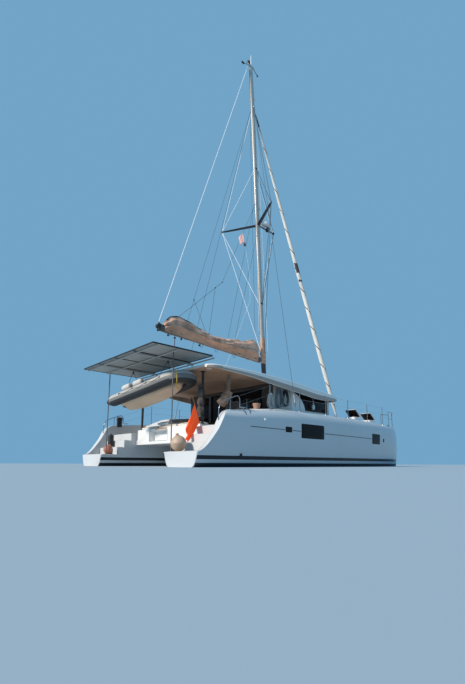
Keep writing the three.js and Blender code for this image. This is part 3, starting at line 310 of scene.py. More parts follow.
def mix_colours(tree, factor, first, second):
    """The colour that lies the factor's share of the way from the first to the second."""
    return add_node(tree, "ShaderNodeMix", {"data_type": "RGBA"},
                    in_0=factor, in_6=first, in_7=second).outputs[2]


def make_aging():
    """Group: a coarse and a fine noise in object space mix the colour towards its aged shade,
    move the roughness about its value, and give the fine noise as a height."""
    group, given, out = new_group("aging", {
        "Colour": (1, 1, 1, 1), "Aged": (0.5, 0.5, 0.5, 1), "Amount": 0.5, "Coarse": 1.2, "Fine": 60.0,
        "Roughness": 0.4, "Spread": 0.1}, ["Colour", "Roughness", "Height"])
    where = add_node(group, "ShaderNodeTexCoord").outputs["Object"]
    coarse = add_node(group, "ShaderNodeTexNoise", Vector=where, Scale=given.outputs["Coarse"], Detail=5.0)
    fine = add_node(group, "ShaderNodeTexNoise", Vector=where, Scale=given.outputs["Fine"], Detail=2.0)
    ramp = add_node(group, "ShaderNodeMapRange", in_0=coarse.outputs["Fac"], in_1=0.38, in_2=0.72)
    speck = reckon(group, "MULTIPLY_ADD", fine.outputs["Fac"], 0.35, ramp.outputs[0])
    mask = reckon(group, "MULTIPLY", speck, given.outputs["Amount"], clamp=True)
    colour = mix_colours(group, mask, given.outputs["Colour"], given.outputs["Aged"])
    rough = reckon(group, "MULTIPLY_ADD", speck, given.outputs["Spread"],
                   given.outputs["Roughness"], clamp=True)
    for source, label in ((colour, "Colour"), (fine.outputs["Fac"], "Height"), (rough, "Roughness")):
        group.links.new(source, out.inputs[label])
    return group


AGING = make_aging()


def finish(name, colour, aged=None, amount=0.35, rough=0.4, spread=0.08, coarse=1.2, fine=60, bump=0,
           depth=0.002, **constants):
    """A Principled material whose colour, roughness and bump come from the aging group;
    constants are set on the shader's own sockets."""
    material = bpy.data.materials.new(name)
    material.use_nodes = True
    tree = material.node_tree
    surface = tree.nodes["Principled BSDF"]
    aged = aged or tuple(c * 0.7 for c in colour)
    effect = add_node(tree, "ShaderNodeGroup", {"node_tree": AGING}, Colour=(*colour, 1), Aged=(*aged, 1),
                      Amount=amount, Coarse=coarse, Fine=fine, Roughness=rough, Spread=spread)
    tree.links.new(effect.outputs["Colour"], surface.inputs["Base Color"])
    tree.links.new(effect.outputs["Roughness"], surface.inputs["Roughness"])
    if bump:
        relief = add_node(tree, "ShaderNodeBump", Height=effect.outputs["Height"],
                          Strength=bump, Distance=depth)
        tree.links.new(relief.outputs["Normal"], surface.inputs["Normal"])
    for key, value in constants.items():
        surface.inputs[key.replace("_", " ")].default_value = value
    return material


def paint_bands(material, bands, low, high, aft_end):
    """Paints the material over in hard-edged bands of height between low and high: (from, colour
    or None to keep the gelcoat). Aft of aft_end the transom's face stays in plain gelcoat."""
    tree = material.node_tree
    surface = tree.nodes["Principled BSDF"]
    ground = surface.inputs["Base Color"].links[0].from_socket
    where = add_node(tree, "ShaderNodeTexCoord").outputs["Object"]
    split = add_node(tree, "ShaderNodeSeparateXYZ", Vector=where)
    scaled = add_node(tree, "ShaderNodeMapRange", in_0=split.outputs["Z"], in_1=low, in_2=high)
    colours = add_node(tree, "ShaderNodeValToRGB", Fac=scaled.outputs[0])
    colours.color_ramp.interpolation = "CONSTANT"
    ramp = colours.color_ramp.elements
    for i, (start, colour) in enumerate(bands):
        at = (start - low) / (high - low)
        element = ramp[i] if i < 2 else ramp.new(at)
        element.position = at
        element.color = (*(colour or (0, 0, 0)), 1 if colour else 0)
    ahead = reckon(tree, "GREATER_THAN", split.outputs["X"], aft_end)
    factor = reckon(tree, "MULTIPLY", colours.outputs["Alpha"], ahead)
    painted = mix_colours(tree, factor, ground, colours.outputs["Color"])
    tree.links.new(painted, surface.inputs["Base Color"])
    return material


# The gelcoat's white is painted down to a blue-grey: painted shade and painted reflection of water on the hull
# sides.
hull_gelcoat_and_shade = paint_bands(
    finish("hull_gelcoat_and_shade", (0.58, 0.61, 0.635), (0.46, 0.49, 0.515), amount=0.25, rough=0.16, spread=0.10,
           coarse=0.6, fine=9, bump=0.05, depth=0.004, Coat_Weight=0.06, Specular_IOR_Level=0.25),
    [(-1.3, (0.035, 0.055, 0.085)), (0, (0.018, 0.022, 0.032)), (0.12, None),
     (0.215, (0.012, 0.016, 0.024)), (0.315, None)], low=-1.3, high=2.2, aft_end=-6.405)


def hull_rings(side):
    """Closed sections from the transom to the stem: bilge and skin outboard, the rounded top of
    the bulwark, its inner wall, the treads or the deck, and the inboard side back down. The two
    at the transom are drawn in a little about their middle."""
    risers = [x for x, _ in TREADS] + [DECK_STARTS_X]
    plain = np.concatenate([
        [-6.42, -6.405, -6.39], np.linspace(-6.34, -5.1, 46), np.linspace(-4.95, 3.3, 56),
        np.linspace(3.4, 5.9, 34), np.linspace(5.95, 6.35, 22),
    ])
    x = np.sort(np.concatenate([plain, risers, risers]))
    row = through_rows(HULL_ROWS, x)
    bottom, afloat, _, inner, knee, gunwale, rail, deck = row.T[:, :, None]
    first = np.concatenate([[False], np.diff(x) == 0])
    floor = np.full(len(x), PLATFORM_Z)
    for riser, height in TREADS:
        floor[(x > riser) | (first & (x == riser))] = height
    on_deck = ((x > DECK_STARTS_X) | (first & (x == DECK_STARTS_X)))[:, None]
    floor = floor[:, None]
    top = np.minimum(through_rows(BULWARK_END, x), rail + TOP_RISE)
    top = np.where(x[:, None] > BULWARK_END[-1, 0], rail + TOP_RISE, top)
    turn = np.radians(np.linspace(0, 90, 8))[None]
    bilge = afloat * np.sin(turn), bottom * np.cos(turn)
    up = (np.linspace(0, 1, 27)[None, 1:]) ** 0.85 * (top - WALL_ROUND)
    outer = skin_half(row[:, None], up)
    lip_out = skin_half(row[:, None], top)
    wall = np.minimum(BULWARK_HALF, gunwale * 0.8)
    corner = np.radians(np.array([30, 60, 90]))[None]
    edge = (np.minimum(lip_out, outer[:, -1:]) - WALL_ROUND * (1 - np.cos(corner)),
            top - WALL_ROUND + WALL_ROUND * np.sin(corner))
    crown = np.where(on_deck, rail + CROWN_RISE, top)
    inner_edge = (wall + WALL_ROUND * (1 - np.sin(corner)),
                  np.where(on_deck, crown, crown - WALL_ROUND + WALL_ROUND * np.cos(corner)))
    foot = np.where(on_deck, crown, floor)
    across = np.linspace(0, 1, 12)[None, 1:-1]
    over = wall + (DECK_ROUND - inner - wall) * across
    camber = crown + (deck - crown) * np.clip((wall - over) / (wall + inner * CAMBER_FROM), 0, 1) ** 0.9
    sole = np.where(on_deck, camber, floor)
    inboard_top = np.where(on_deck, deck, floor)
    turn_in = (-inner + DECK_ROUND * (1 - np.sin(corner)),
               inboard_top - DECK_ROUND * (1 - np.cos(corner)))
    full = np.minimum(0.76, knee * 0.8)
    down = np.linspace(1, 0, 14)[None] * (inboard_top - DECK_ROUND)
    inside = -(afloat + (inner - afloat) * np.sin(np.clip(down / full, 0, 1) * np.pi / 2) ** 0.55)
    half = np.hstack([bilge[0], outer, edge[0], inner_edge[0], wall, over, turn_in[0], inside,
                      -bilge[0][:, -2:0:-1]])
    high = np.hstack([bilge[1], up, edge[1], inner_edge[1], foot, sole, turn_in[1], down,
                      bilge[1][:, -2:0:-1]])
    rings = np.stack([np.broadcast_to(x[:, None], half.shape), side * (HULL_Y + half), high], -1)
    centre = rings.mean(1, keepdims=True)
    for near, shrink in enumerate((0.965, 0.99)):
        rings[near] = centre[near] + (rings[near] - centre[near]) * (1, shrink, shrink)
    return rings


for word, side in SIDES:
    piece(f"moulded_hull_{word}", [loft(hull_rings(side))], hull_gelcoat_and_shade,
          replaces=f"hull_{word}", crease=38)


def rounded_outline(width, height, radius, steps=5):
    """Corner by corner, the points of an oblong about the origin with rounded corners."""
    quarter = np.radians(np.linspace(0, 90, steps))
    turn = (np.arange(4)[:, None] * np.pi / 2 + quarter).ravel()
    sign = np.repeat([[1, 1], [-1, 1], [-1, -1], [1, -1]], steps, 0)
    corner = radius * np.stack([np.cos(turn), np.sin(turn)], -1)
    return corner + sign * (width / 2 - radius, height / 2 - radius)


def skin_plate(side, low, high, radius, lift=0.006):
    """A plate laid on a hull's skin between two corners (x, z), its rim drawn into the skin."""
    middle = np.add(low, high) / 2
    outline = rounded_outline(high[0] - low[0], high[1] - low[1], radius)
    rings = []
    for scale, rise in ((1, -0.008), (1, 0.4 * lift), *[(s, lift) for s in (0.985, 0.75, 0.5, 0.25, 0.02)]):
        x, z = (middle + outline * scale).T
        rings.append(np.stack([x, skin_y(side, x, z, rise), z], -1))
    return loft(rings)


def tube(path, radius, sides=12):
    """A round bar along a path: at each of its points a ring square to it, counted from the
    direction in which the whole path runs least."""
    path = np.asarray(path, float)
    along = np.gradient(path, axis=0)
    along /= np.linalg.norm(along, axis=1, keepdims=True)
    across = np.cross(along, np.linalg.svd(along)[2][-1])
    across /= np.linalg.norm(across, axis=1, keepdims=True)
    turn = circle(sides)[None, :, None]
    thick = np.broadcast_to(radius, len(path))[:, None, None]
    rings = np.cos(turn) * across[:, None] + np.sin(turn) * np.cross(along, across)[:, None]
    return loft(path[:, None] + thick * rings)


def round_box(low, high, radius, steps=4):
    """A box between two corners with an eighth of a ball at each of its corners."""
    low, high = np.array(low, float), np.array(high, float)
    half = (high - low) / 2
    radius = min(radius, 0.999 * half.min())
    quarter = np.radians(np.linspace(0, 90, steps))
    up = np.concatenate([quarter - np.pi / 2, quarter])[:, None]
    round_ = (np.arange(4)[:, None] * np.pi / 2 + quarter).ravel()[None]
    east = np.repeat([1, -1, -1, 1], steps)[None]
    north = np.repeat([1, 1, -1, -1], steps)[None]
    flat = np.stack(np.broadcast_arrays(
        east * (half[0] - radius) + radius * np.cos(up) * np.cos(round_),
        north * (half[1] - radius) + radius * np.cos(up) * np.sin(round_),
        np.repeat([-1, 1], steps)[:, None] * (half[2] - radius) + radius * np.sin(up)), -1)
    return loft((low + high) / 2 + flat)


# What is set into the hull sides: black windows, the styling line between them, a skin fitting
# and a small white light; with the pads on the stern steps and the seams of the bulwarks.
dark_glass = finish("dark_glass", (0.014, 0.009, 0.009), (0.026, 0.018, 0.018),
                    rough=0.10, spread=0.05, coarse=0.9, Specular_IOR_Level=0.13)
trim_black = finish("trim_black", (0.020, 0.022, 0.026), rough=0.42)
step_pad = finish("step_pad", (0.47, 0.42, 0.34), (0.36, 0.31, 0.25),
                  rough=0.75, coarse=5, fine=220, bump=0.5)
white_trim = finish("white_trim", (0.82, 0.83, 0.83), (0.70, 0.71, 0.72), rough=0.3)

# Windows as two corners (x, z) and the radius of their rounding; the line's runs between them
WINDOWS = [((-2.97, 1.11), (-2.64, 1.29), 0.03), ((-2.15, 0.95), (-0.85, 1.44), 0.05),
           ((2.56, 0.92), (3.30, 1.34), 0.05), ((3.61, 1.03), (3.72, 1.18), 0.03)]
LINE_RUNS = [(-4.55, -3.00), (-2.61, -2.18), (-0.82, 2.53)]


def to_side(side, parts):
    """Forms drawn to port, mirrored where the side is -1."""
    return [(points * (1, side, 1), faces) for points, faces in parts]


def line_on_skin(side, run):
    """A bead along the skin between two places, falling by a hundredth of its length."""
    x = np.linspace(*run, 24)
    z = 1.2 - 0.010 * (x + 4.5)
    return tube(np.stack([x, skin_y(side, x, z, 0.002), z], -1), 0.010, 6)


for word, side in SIDES:
    piece(f"hull_windows_{word}", [skin_plate(side, *window) for window in WINDOWS],
          dark_glass)
    piece(f"styling_line_{word}", [line_on_skin(side, run) for run in LINE_RUNS], trim_black)
    outlet = skin_y(side, np.array(-4.86), 0.36)
    neck = [(-4.86, outlet + side * out, z) for out, z in ((-0.03, 0.36), (0.02, 0.35), (0.035, 0.345))]
    piece(f"skin_fitting_{word}", [tube(neck, (0.045, 0.045, 0.035), 20)], trim_black)
    lamp = skin_y(side, np.array(-3.91), 1.44)
    piece(f"step_lamp_{word}", [round_box((-3.96, lamp - 0.02, 1.41), (-3.86, lamp + 0.02, 1.48), 0.018)],
          white_trim)
    inboard, outboard = HULL_Y - 0.76, HULL_Y + 0.60
    ends = [x for x, _ in TREADS[1:]] + [DECK_STARTS_X]
    pads = [round_box((x + 0.03, inboard, z - 0.004), (end - 0.03, outboard, z + 0.009), 0.006, 3)
            for (x, z), end in zip(TREADS, ends)]
    pads.append(round_box((-6.36, inboard + 0.06, PLATFORM_Z - 0.004),
                          (-5.81, outboard, PLATFORM_Z + 0.009), 0.006, 3))
    piece(f"step_pads_{word}", to_side(side, pads), step_pad)
    wall = HULL_Y + BULWARK_HALF
    seams = [round_box((x, wall - 0.003, 0.49), (x + 0.012, wall + 0.002, top), 0.002, 2)
             for x, top in ((-5.78, 0.98), (-5.35, 1.52), (-4.90, 1.62))]
    piece(f"bulwark_seams_{word}", to_side(side, seams), trim_black)


# Under water: keels, rudders, saildrive legs with their bronze propellers, all with smooth foil
# sections, and antifouling paint a little worn.
antifoul = finish("antifoul", (0.035, 0.055, 0.085), (0.075, 0.095, 0.12),
                  amount=0.6, rough=0.7, coarse=2.5, fine=120, bump=0.25)
drive_grey = finish("drive_grey", (0.32, 0.33, 0.34), rough=0.35, Metallic=0.6)
bronze = finish("bronze", (0.46, 0.33, 0.17), (0.26, 0.24, 0.16),
                amount=0.5, rough=0.3, coarse=12, Metallic=1)
DRIVE_Z = -0.82


def foil(lead, tip_lead, chord, tip_chord, top, tip, thick, y, rows=14):
    """A fin between two heights. Its half thickness at the share s of the chord is
    t (1.4845 √s − 0.63 s − 1.758 s² + 1.4215 s³ − 0.5075 s⁴), and closes round the tip."""
    s = (1 - np.cos(np.linspace(0, np.pi, 26))) / 2
    half = 1.4845 * np.sqrt(s) - 0.63 * s - 1.758 * s ** 2 + 1.4215 * s ** 3 - 0.5075 * s ** 4
    down = np.linspace(0, 1, rows)[:, None]
    swell = np.sqrt(1 - np.clip((down - 0.93) / 0.07, 0, 0.985) ** 2)
    length = (chord + (tip_chord - chord) * down) * (1 - 0.05 * (1 - swell))
    nose = lead + (tip_lead - lead) * down - 0.02 * (1 - swell)
    across = np.concatenate([half, -half[-2:0:-1]]) * thick * swell
    x = nose - np.concatenate([s, s[-2:0:-1]]) * length
    return loft(np.stack([x, y + across, np.broadcast_to(top + (tip - top) * down, x.shape)], -1))


def spin(profile, foot, axis=(0, 0, 1), sides=24):
    """A turned form: (distance, radius) pairs carried round an axis through foot, upright if no
    other is given."""
    profile, foot = np.asarray(profile, float), np.asarray(foot, float)
    axis = np.array(axis, float) / np.linalg.norm(axis)
    across = np.cross(axis, np.eye(3)[np.argmin(np.abs(axis))])
    across /= np.linalg.norm(across)
    turn = circle(sides)[:, None]
    ring = np.cos(turn) * across + np.sin(turn) * np.cross(axis, across)
    return loft(foot + profile[:, :1, None] * axis + profile[:, 1:, None] * ring)


def blade(angle, y, root=0.03, tip=0.213):
    """A broad propeller blade about X: pitch eases and width swells, then closes, with radius."""
    r = np.linspace(root, tip, 12)[:, None]
    share = (r - root) / 0.183
    width = 0.075 * np.sqrt(np.clip(1 - (2 * share - 0.9) ** 2 / 1.45, 0.02, 1))
    pitch = np.radians(52 - 26 * share)
    s = circle(16)[None]
    chord, thick = np.cos(s) * width, np.sin(s) * (0.009 - 0.006 * share)
    x = chord * np.sin(pitch) * 0.5 + thick
    tangent = chord * np.cos(pitch)
    turn = math.radians(angle)
    return loft(np.stack([x - 4.39, y + tangent * math.cos(turn) - r * math.sin(turn),
                          tangent * math.sin(turn) + r * math.cos(turn) + DRIVE_Z], -1))


for word, side in SIDES:
    y = side * HULL_Y
    piece(f"keel_fin_{word}", [foil(0.85, 0.59, 2.30, 1.79, -0.40, -1.25, 0.130, y)],
          antifoul, replaces=f"keel_{word}")
    piece(f"rudder_blade_{word}", [foil(-5.08, -5.12, 0.56, 0.40, -0.245, -1.13, 0.045, y),
                                   tube([(-5.25, y, -0.36), (-5.25, y, -0.215)], 0.03, 20)], antifoul,
          body=f"rudder_{word}", replaces=f"rudder_{word}")
    piece(f"drive_leg_{word}", [foil(-4.0, -4.02, 0.30, 0.25, -0.30, -0.86, 0.047, y),
                                foil(-4.06, -4.13, 0.18, 0.09, DRIVE_Z, -0.97, 0.015, y),
                                spin([(0, 0), (0, 0.05), (0.08, 0.064), (0.28, 0.062), (0.38, 0.045),
                                      (0.44, 0.018), (0.45, 0)], (-4.329, y, DRIVE_Z), (1, 0, 0))],
          drive_grey, replaces=f"saildrive_{word}")
    piece(f"screw_{word}", [
        spin([(0, 0), (0, 0.05), (0.01, 0.055), (0.08, 0.052), (0.12, 0.036), (0.13, 0.02), (0.13, 0)],
             (-4.331, y, DRIVE_Z), (-1, 0, 0)), *[blade(angle, y) for angle in (0, 120, 240)]], bronze,
        body=f"propeller_{word}", replaces=f"propeller_{word}")


# The bridgedeck and the deckhouse: white mouldings with their edges eased, the deckhouse's
# painted a warm tan as shade and warm bounced light; a pale non-skid surface where people walk,
# and black acrylic windows with a bonded rim.
gelcoat = finish("gelcoat", (0.79, 0.80, 0.80), (0.62, 0.63, 0.62), amount=0.3, rough=0.2, spread=0.1,
                 coarse=0.8, fine=10, bump=0.05, depth=0.004, Coat_Weight=0.3, Coat_Roughness=0.1)
# The deckhouse's warm tan is painted shade and painted warm bounced light over white gelcoat.
house_gelcoat_and_shade = finish("house_gelcoat_and_shade", (0.62, 0.57, 0.51), (0.50, 0.46, 0.41), amount=0.35,
                       rough=0.25, coarse=0.9, fine=12, bump=0.05, depth=0.004, Coat_Weight=0.25)
non_skid = finish("non_skid", (0.56, 0.57, 0.56), (0.46, 0.47, 0.46),
                  rough=0.75, coarse=2, fine=260, bump=0.6)


def eased(node, name, material, width, crease=30):
    """A node's own form as a finished piece: its mesh merged, its sharp edges rounded off."""
    source = frame["nodes"][node]
    work = bmesh.new()
    work.from_mesh(source.data)
    bmesh.ops.remove_doubles(work, verts=work.verts, dist=2e-5)
    bmesh.ops.dissolve_limit(work, angle_limit=math.radians(0.5), verts=work.verts, edges=work.edges)
    sharp = [e for e in work.edges if len(e.link_faces) == 2 and e.calc_face_angle(0) > math.radians(crease)]
    bmesh.ops.bevel(work, geom=sharp, offset=width, offset_type="OFFSET", segments=2, profile=0.5,
                    affect="EDGES", clamp_overlap=True)
    bmesh.ops.recalc_face_normals(work, faces=work.faces)
    mesh = bpy.data.meshes.new(name)
    work.to_mesh(mesh)
    work.free()
    mesh.polygons.foreach_set("use_smooth", np.ones(len(mesh.polygons), bool))
    mesh.set_sharp_from_angle(angle=math.radians(crease))
    mesh.materials.append(material)
    made = bpy.data.objects.new(name, mesh)
    bpy.context.scene.collection.objects.link(made)
    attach(made, body_of(source)[0])
    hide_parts(node)


eased("bridgedeck", "bridgedeck_moulding", gelcoat, 0.018)
eased("deckhouse", "house_shell", house_gelcoat_and_shade, 0.012)
eased("front_glass", "front_window", dark_glass, 0.003)
for word, _ in SIDES:
    for wall in ("side", "bulkhead"):
        eased(f"{wall}_glass_{word}", f"{wall}_window_{word}", dark_glass, 0.003)
panel_brown = finish("panel_brown", (0.065, 0.045, 0.036), (0.10, 0.07, 0.055),
                     amount=0.5, rough=0.4, coarse=1.5)
eased("bulkhead", "bulkhead_panel", panel_brown, 0.008)
eased("saloon_door", "saloon_slider", dark_glass, 0.004)


# The hardtop: one moulding, cambered above with a soft edge and a deep side band whose lower part
# is painted brown-grey shade, its lining below in warm beige, partly its own colour and partly
# painted warm light bounced up from the deck, with a shallow recess over the cockpit; three round
# lamps, and a post under each aft corner.
ROOF_ROWS = np.array([
    # place, half width, edge height, foot of the side band, crown
    [-5.25, 2.60, 3.215, 3.112, 3.275], [-5.00, 2.74, 3.230, 3.095, 3.300],
    [-3.60, 2.85, 3.225, 3.010, 3.345], [-2.20, 2.88, 3.180, 2.860, 3.350],
    [-1.00, 2.88, 3.110, 2.745, 3.345], [0.40, 2.83, 3.010, 2.640, 3.310],
    [1.50, 2.70, 2.960, 2.700, 3.210], [2.20, 2.43, 2.945, 2.790, 3.095],
    [2.60, 2.05, 2.945, 2.860, 3.015], [2.82, 1.56, 2.950, 2.895, 2.985],
])
ROOF_ROUND = 0.03
# The lining's warm beige is partly its own colour and partly painted warm light bounced up from the deck.
lining = finish("lining", (0.70, 0.43, 0.28), (0.38, 0.22, 0.14),
                amount=0.7, rough=0.65, coarse=1, fine=90, bump=0.08)


def ceiling_z(x):
    """Height of the hardtop's lining, which falls a little towards the bows."""
    return 3.15 - 0.028 * (x + 5.25)


def roof_rings():
    """Half sections from the crown out over the camber, round the edge, down the side band and
    back under its lip; mirrored, and drawn in a little at both ends."""
    x = np.concatenate([[-5.25], np.linspace(-5.235, 2.3, 60), np.linspace(2.4, 2.81, 8), [2.82]])
    half, edge, band, crown = through_rows(ROOF_ROWS, x).T[:, :, None]
    end = np.minimum(x - x[0], x[-1] - x)[:, None]
    thin = 0.022 * (1 - np.sqrt(1 - np.clip(1 - end / ROOF_ROUND, 0, 1) ** 2))
    t = np.linspace(0, 0.985, 16)[None]
    over = half * t, edge + (crown - edge) * (1 - t ** 2.2) - thin
    bend = np.radians(np.array([20, 50, 80]))[None]
    rim = half - ROOF_ROUND * (1 - np.sin(bend)) * 1.1, edge - ROOF_ROUND * (1 - np.cos(bend)) - thin
    side = (np.hstack([half, half - 0.004, half - 0.008]),
            np.hstack([edge - 0.045, (edge + band) / 2, band + ROOF_ROUND]))
    lip = [half - np.array([[0.012, 0.030, 0.055, 0.09, 0.110]]),
           band + np.array([[0.012, 0.002, 0, 0.01, 0]])]
    roof = ceiling_z(x)[:, None]
    lip[1][:, -1:] = roof
    inward = np.array([[0.20, 0.32, 0.36, 0.40, 0.60, 0.9, 1]])
    depth = np.array([[0, 0, 0.5, 1, 1, 1, 1]]) * 0.06
    open_aft = np.clip((x + 4.85) / 0.08, 0, 1) * np.clip((-2.12 - x) / 0.08, 0, 1)
    under = (half - 0.11) * (1 - inward), roof + depth * open_aft[:, None]
    y = np.hstack([over[0], rim[0], side[0], lip[0], under[0]])
    z = np.hstack([over[1], rim[1], side[1], lip[1] + 0 * half, under[1]])
    y = np.hstack([y, -y[:, -2:0:-1]])
    z = np.hstack([z, z[:, -2:0:-1]])
    return np.stack([np.broadcast_to(x[:, None], y.shape), y, z], -1)


def middles_of(made):
    """The middle of each of a piece's faces."""
    return np.array([face.center for face in made.data.polygons])


def repaint(made, kinds, *materials):
    """Gives the piece further materials, and each of its faces the one of its own kind."""
    for material in materials:
        made.data.materials.append(material)
    made.data.polygons.foreach_set("material_index", np.asarray(kinds, int))


roof_gelcoat = finish("roof_gelcoat", (0.84, 0.82, 0.79), (0.72, 0.70, 0.67),
                      amount=0.3, rough=0.2, coarse=0.8, fine=10, bump=0.05, Coat_Weight=0.3)
roof = piece("hardtop_moulding", [
    loft(roof_rings()), round_box((-0.08, -0.17, 3.28), (0.42, 0.17, 3.35), 0.02),
    *[round_box((-4.81, y - 0.06, 3.19), (-4.69, y + 0.06, 3.31), 0.01) for y in (1.15, -1.15)]],
             roof_gelcoat, replaces="hardtop", crease=40)
middles = middles_of(roof)
facing = np.array([p.normal.z for p in roof.data.polygons])
lined = (facing < -0.5) & (middles[:, 2] < 3.26) & (np.abs(middles[:, 1]) < 2.76)
half_way = through_rows(ROOF_ROWS, np.clip(middles[:, 0], -5.25, 2.82))[:, 1:3] @ (0.6, 0.4)
# The lower part of the side band, facing sideways, is painted brown-grey shade.
shaded_band = (np.abs(facing) < 0.5) & (np.abs(middles[:, 1]) > 1.4) & (middles[:, 2] < half_way)
roof_band_shade = finish("roof_band_shade", (0.42, 0.35, 0.30), (0.30, 0.25, 0.22), amount=0.4, rough=0.35, coarse=1)
repaint(roof, lined + 2 * (shaded_band & ~lined), lining, roof_band_shade)
lamp_glass = finish("lamp_glass", (0.85, 0.74, 0.58), rough=0.3)
piece("cockpit_lamps", [spin([(0, 0), (0, 0.09), (0.02, 0.088), (0.032, 0.06), (0.036, 0)],
                             (x, y, ceiling_z(x) + 0.002), (0, 0, -1))
                        for x, y in ((-4.95, -2.35), (-4.95, 2.35), (-2.05, -2.35))], lamp_glass)
satin_black = finish("satin_black", (0.024, 0.026, 0.030), (0.06, 0.06, 0.06),
                     amount=0.4, rough=0.38, coarse=3, Metallic=0.3)
height = ceiling_z(-4.85) - 0.001 - 1.381
pillar = [(0, 0), (0, 0.085), (0.012, 0.085), (0.02, 0.047), (0.05, 0.045), (height - 0.05, 0.045),
          (height - 0.02, 0.05), (height - 0.012, 0.085), (height, 0.085), (height, 0)]
for word, side in SIDES:
    piece(f"roof_pillar_{word}", [spin(pillar, (-4.85, side * 1.9, 1.381), sides=28)], satin_black,
          replaces=f"roof_post_{word}")


# The mast: an oval section raked aft, drawn in at its head, with its track, masthead crane,
# gooseneck, jumper strut, spreaders, radome, lamps, wind vane and aerial.
spar = finish("spar", (0.50, 0.47, 0.43), (0.38, 0.35, 0.32),
              amount=0.35, rough=0.3, coarse=0.7, fine=40, Metallic=0.25, Coat_Weight=0.2)
stainless = finish("stainless", (0.62, 0.63, 0.64), (0.45, 0.44, 0.42),
                   amount=0.3, rough=0.16, coarse=4, Metallic=1)
HOUNDS_Z, SPREADER_Z = 17.5, 11.3
SPREADER_TIP = (-1.0, 1.62, SPREADER_Z)
MAST_HALF = (0.12, 0.075)


def mast_x(z):
    """Place of the raked mast's middle at a height."""
    return 0.18 - (z - 3.6) * 0.046


def on_mast(z, x=0, y=0):
    """A point that far ahead of the mast's middle and that far to port of it."""
    return (mast_x(z) + x, y, z)


def tilted(part, degrees, about):
    """A form turned about Y round a point: positive leans its top forward."""
    points, faces = part
    turn = np.array(Matrix.Rotation(math.radians(degrees), 3, "Y"))
    return (np.asarray(points) - about) @ turn.T + about, faces


def mast_rings():
    """Level ovals up the mast, a little blunter than ellipses, drawn in above the hounds."""
    z = np.concatenate([[3.371], np.linspace(3.40, HOUNDS_Z, 30), np.linspace(17.9, 19.84, 8), [19.87]])
    scale = np.clip(1 - 0.2 * (z - HOUNDS_Z) / 2.4, 0.8, 1)
    scale[-1] *= 0.93
    turn = circle(36)[None]
    oval = np.sign(np.cos(turn)) * np.abs(np.cos(turn)) ** 0.9
    x = mast_x(z)[:, None] + MAST_HALF[0] * scale[:, None] * oval
    y = MAST_HALF[1] * scale[:, None] * np.sin(turn)
    return np.stack([x, y, np.broadcast_to(z[:, None], x.shape)], -1)


GOOSENECK, RAKE = (-0.0506, 0, 4.7), 2.634
lugs = [tilted(round_box((GOOSENECK[0] - 0.04, -0.03, 4.7 + low), (GOOSENECK[0] + 0.11, 0.03, 4.7 + high),
                         0.006), -RAKE, GOOSENECK) for low, high in ((0.034, 0.052), (-0.052, -0.034))]
spreader_x, hounds_x = mast_x(SPREADER_Z), mast_x(HOUNDS_Z)
piece("mast_spar",
      [loft(mast_rings()),
       round_box((mast_x(3.36) - 0.2, -0.13, 3.3504), (mast_x(3.36) + 0.18, 0.13, 3.376), 0.008),
       round_box((-0.80, -0.04, 19.84), (-0.37, 0.04, 19.918), 0.02),
       round_box((hounds_x - 0.04, -0.128, HOUNDS_Z), (hounds_x + 0.04, 0.128, HOUNDS_Z + 0.05), 0.008),
       round_box((hounds_x, -0.02, 17.472), (-0.292, 0.02, 17.55), 0.006),
       *lugs, round_box((mast_x(11.45) + 0.05, -0.03, 11.43), (0.42, 0.03, 11.456), 0.006)],
      spar, replaces="mast", weld=1e-6)
piece("mast_track", [tube([on_mast(z, -0.121) for z in (5.9, 19.6)], 0.011, 8)], trim_black)
JUMPER = [(spreader_x + 0.06, 0, SPREADER_Z), (0.9, 0, SPREADER_Z), (0.96, 0, SPREADER_Z)]
piece("mast_fittings", [
    *[round_box((mast_x(z) - 0.07, -0.088, z - 0.05), (mast_x(z) + 0.07, 0.088, z + 0.05), 0.02)
      for z in (7.4, SPREADER_Z, 14.2)],
    spin([(0, 0), (0, 0.07), (0.04, 0.085), (0.12, 0.085), (0.16, 0.06), (0.16, 0)], (-0.74, 0, 19.90)),
    spin([(0, 0), (0, 0.09), (0.03, 0.125), (0.10, 0.12), (0.13, 0.07), (0.13, 0)], (0.40, -0.05, 11.30),
         (0.15, -0.03, -0.02)),
    tube(JUMPER, (0.034, 0.026, 0.020), 20), round_box((0.90, -0.05, 11.25), (0.99, 0.05, 11.36), 0.03)],
      satin_black)
piece("steaming_lamp", [
    round_box((mast_x(12.2) + 0.11, -0.05, 12.12), (mast_x(12.2) + 0.20, 0.05, 12.22), 0.02),
    round_box((mast_x(18.05) + 0.10, -0.045, 18.0), (mast_x(18.05) + 0.17, 0.045, 18.1), 0.02)], lamp_glass)
piece("radome", [spin([(0, 0), (0, 0.17), (0.03, 0.205), (0.1, 0.205),
                       (0.16, 0.18), (0.182, 0.11), (0.186, 0)], (0.33, 0, 11.4565), sides=32)], white_trim)
piece("aerial", [tube([(-0.555, 0, 19.9), (-0.56, 0, 20.2), (-0.565, 0, 20.53)], (0.022, 0.018, 0.012), 8)],
      white_trim)
piece("wind_vane", [tube([(-0.79, 0, 19.86), (-0.95, 0, 19.74), (-1.14, 0, 19.70)], 0.012, 6),
                    round_box((-1.21, -0.03, 19.65), (-1.05, 0.03, 19.73), 0.01),
                    tube([(-0.38, 0, 19.88), (-0.25, 0, 19.74), (-0.10, 0, 19.68)], 0.014, 6),
                    spin([(0, 0), (0, 0.03), (0.05, 0.045), (0.10, 0)], (-0.10, 0, 19.61), sides=12)],
      satin_black)


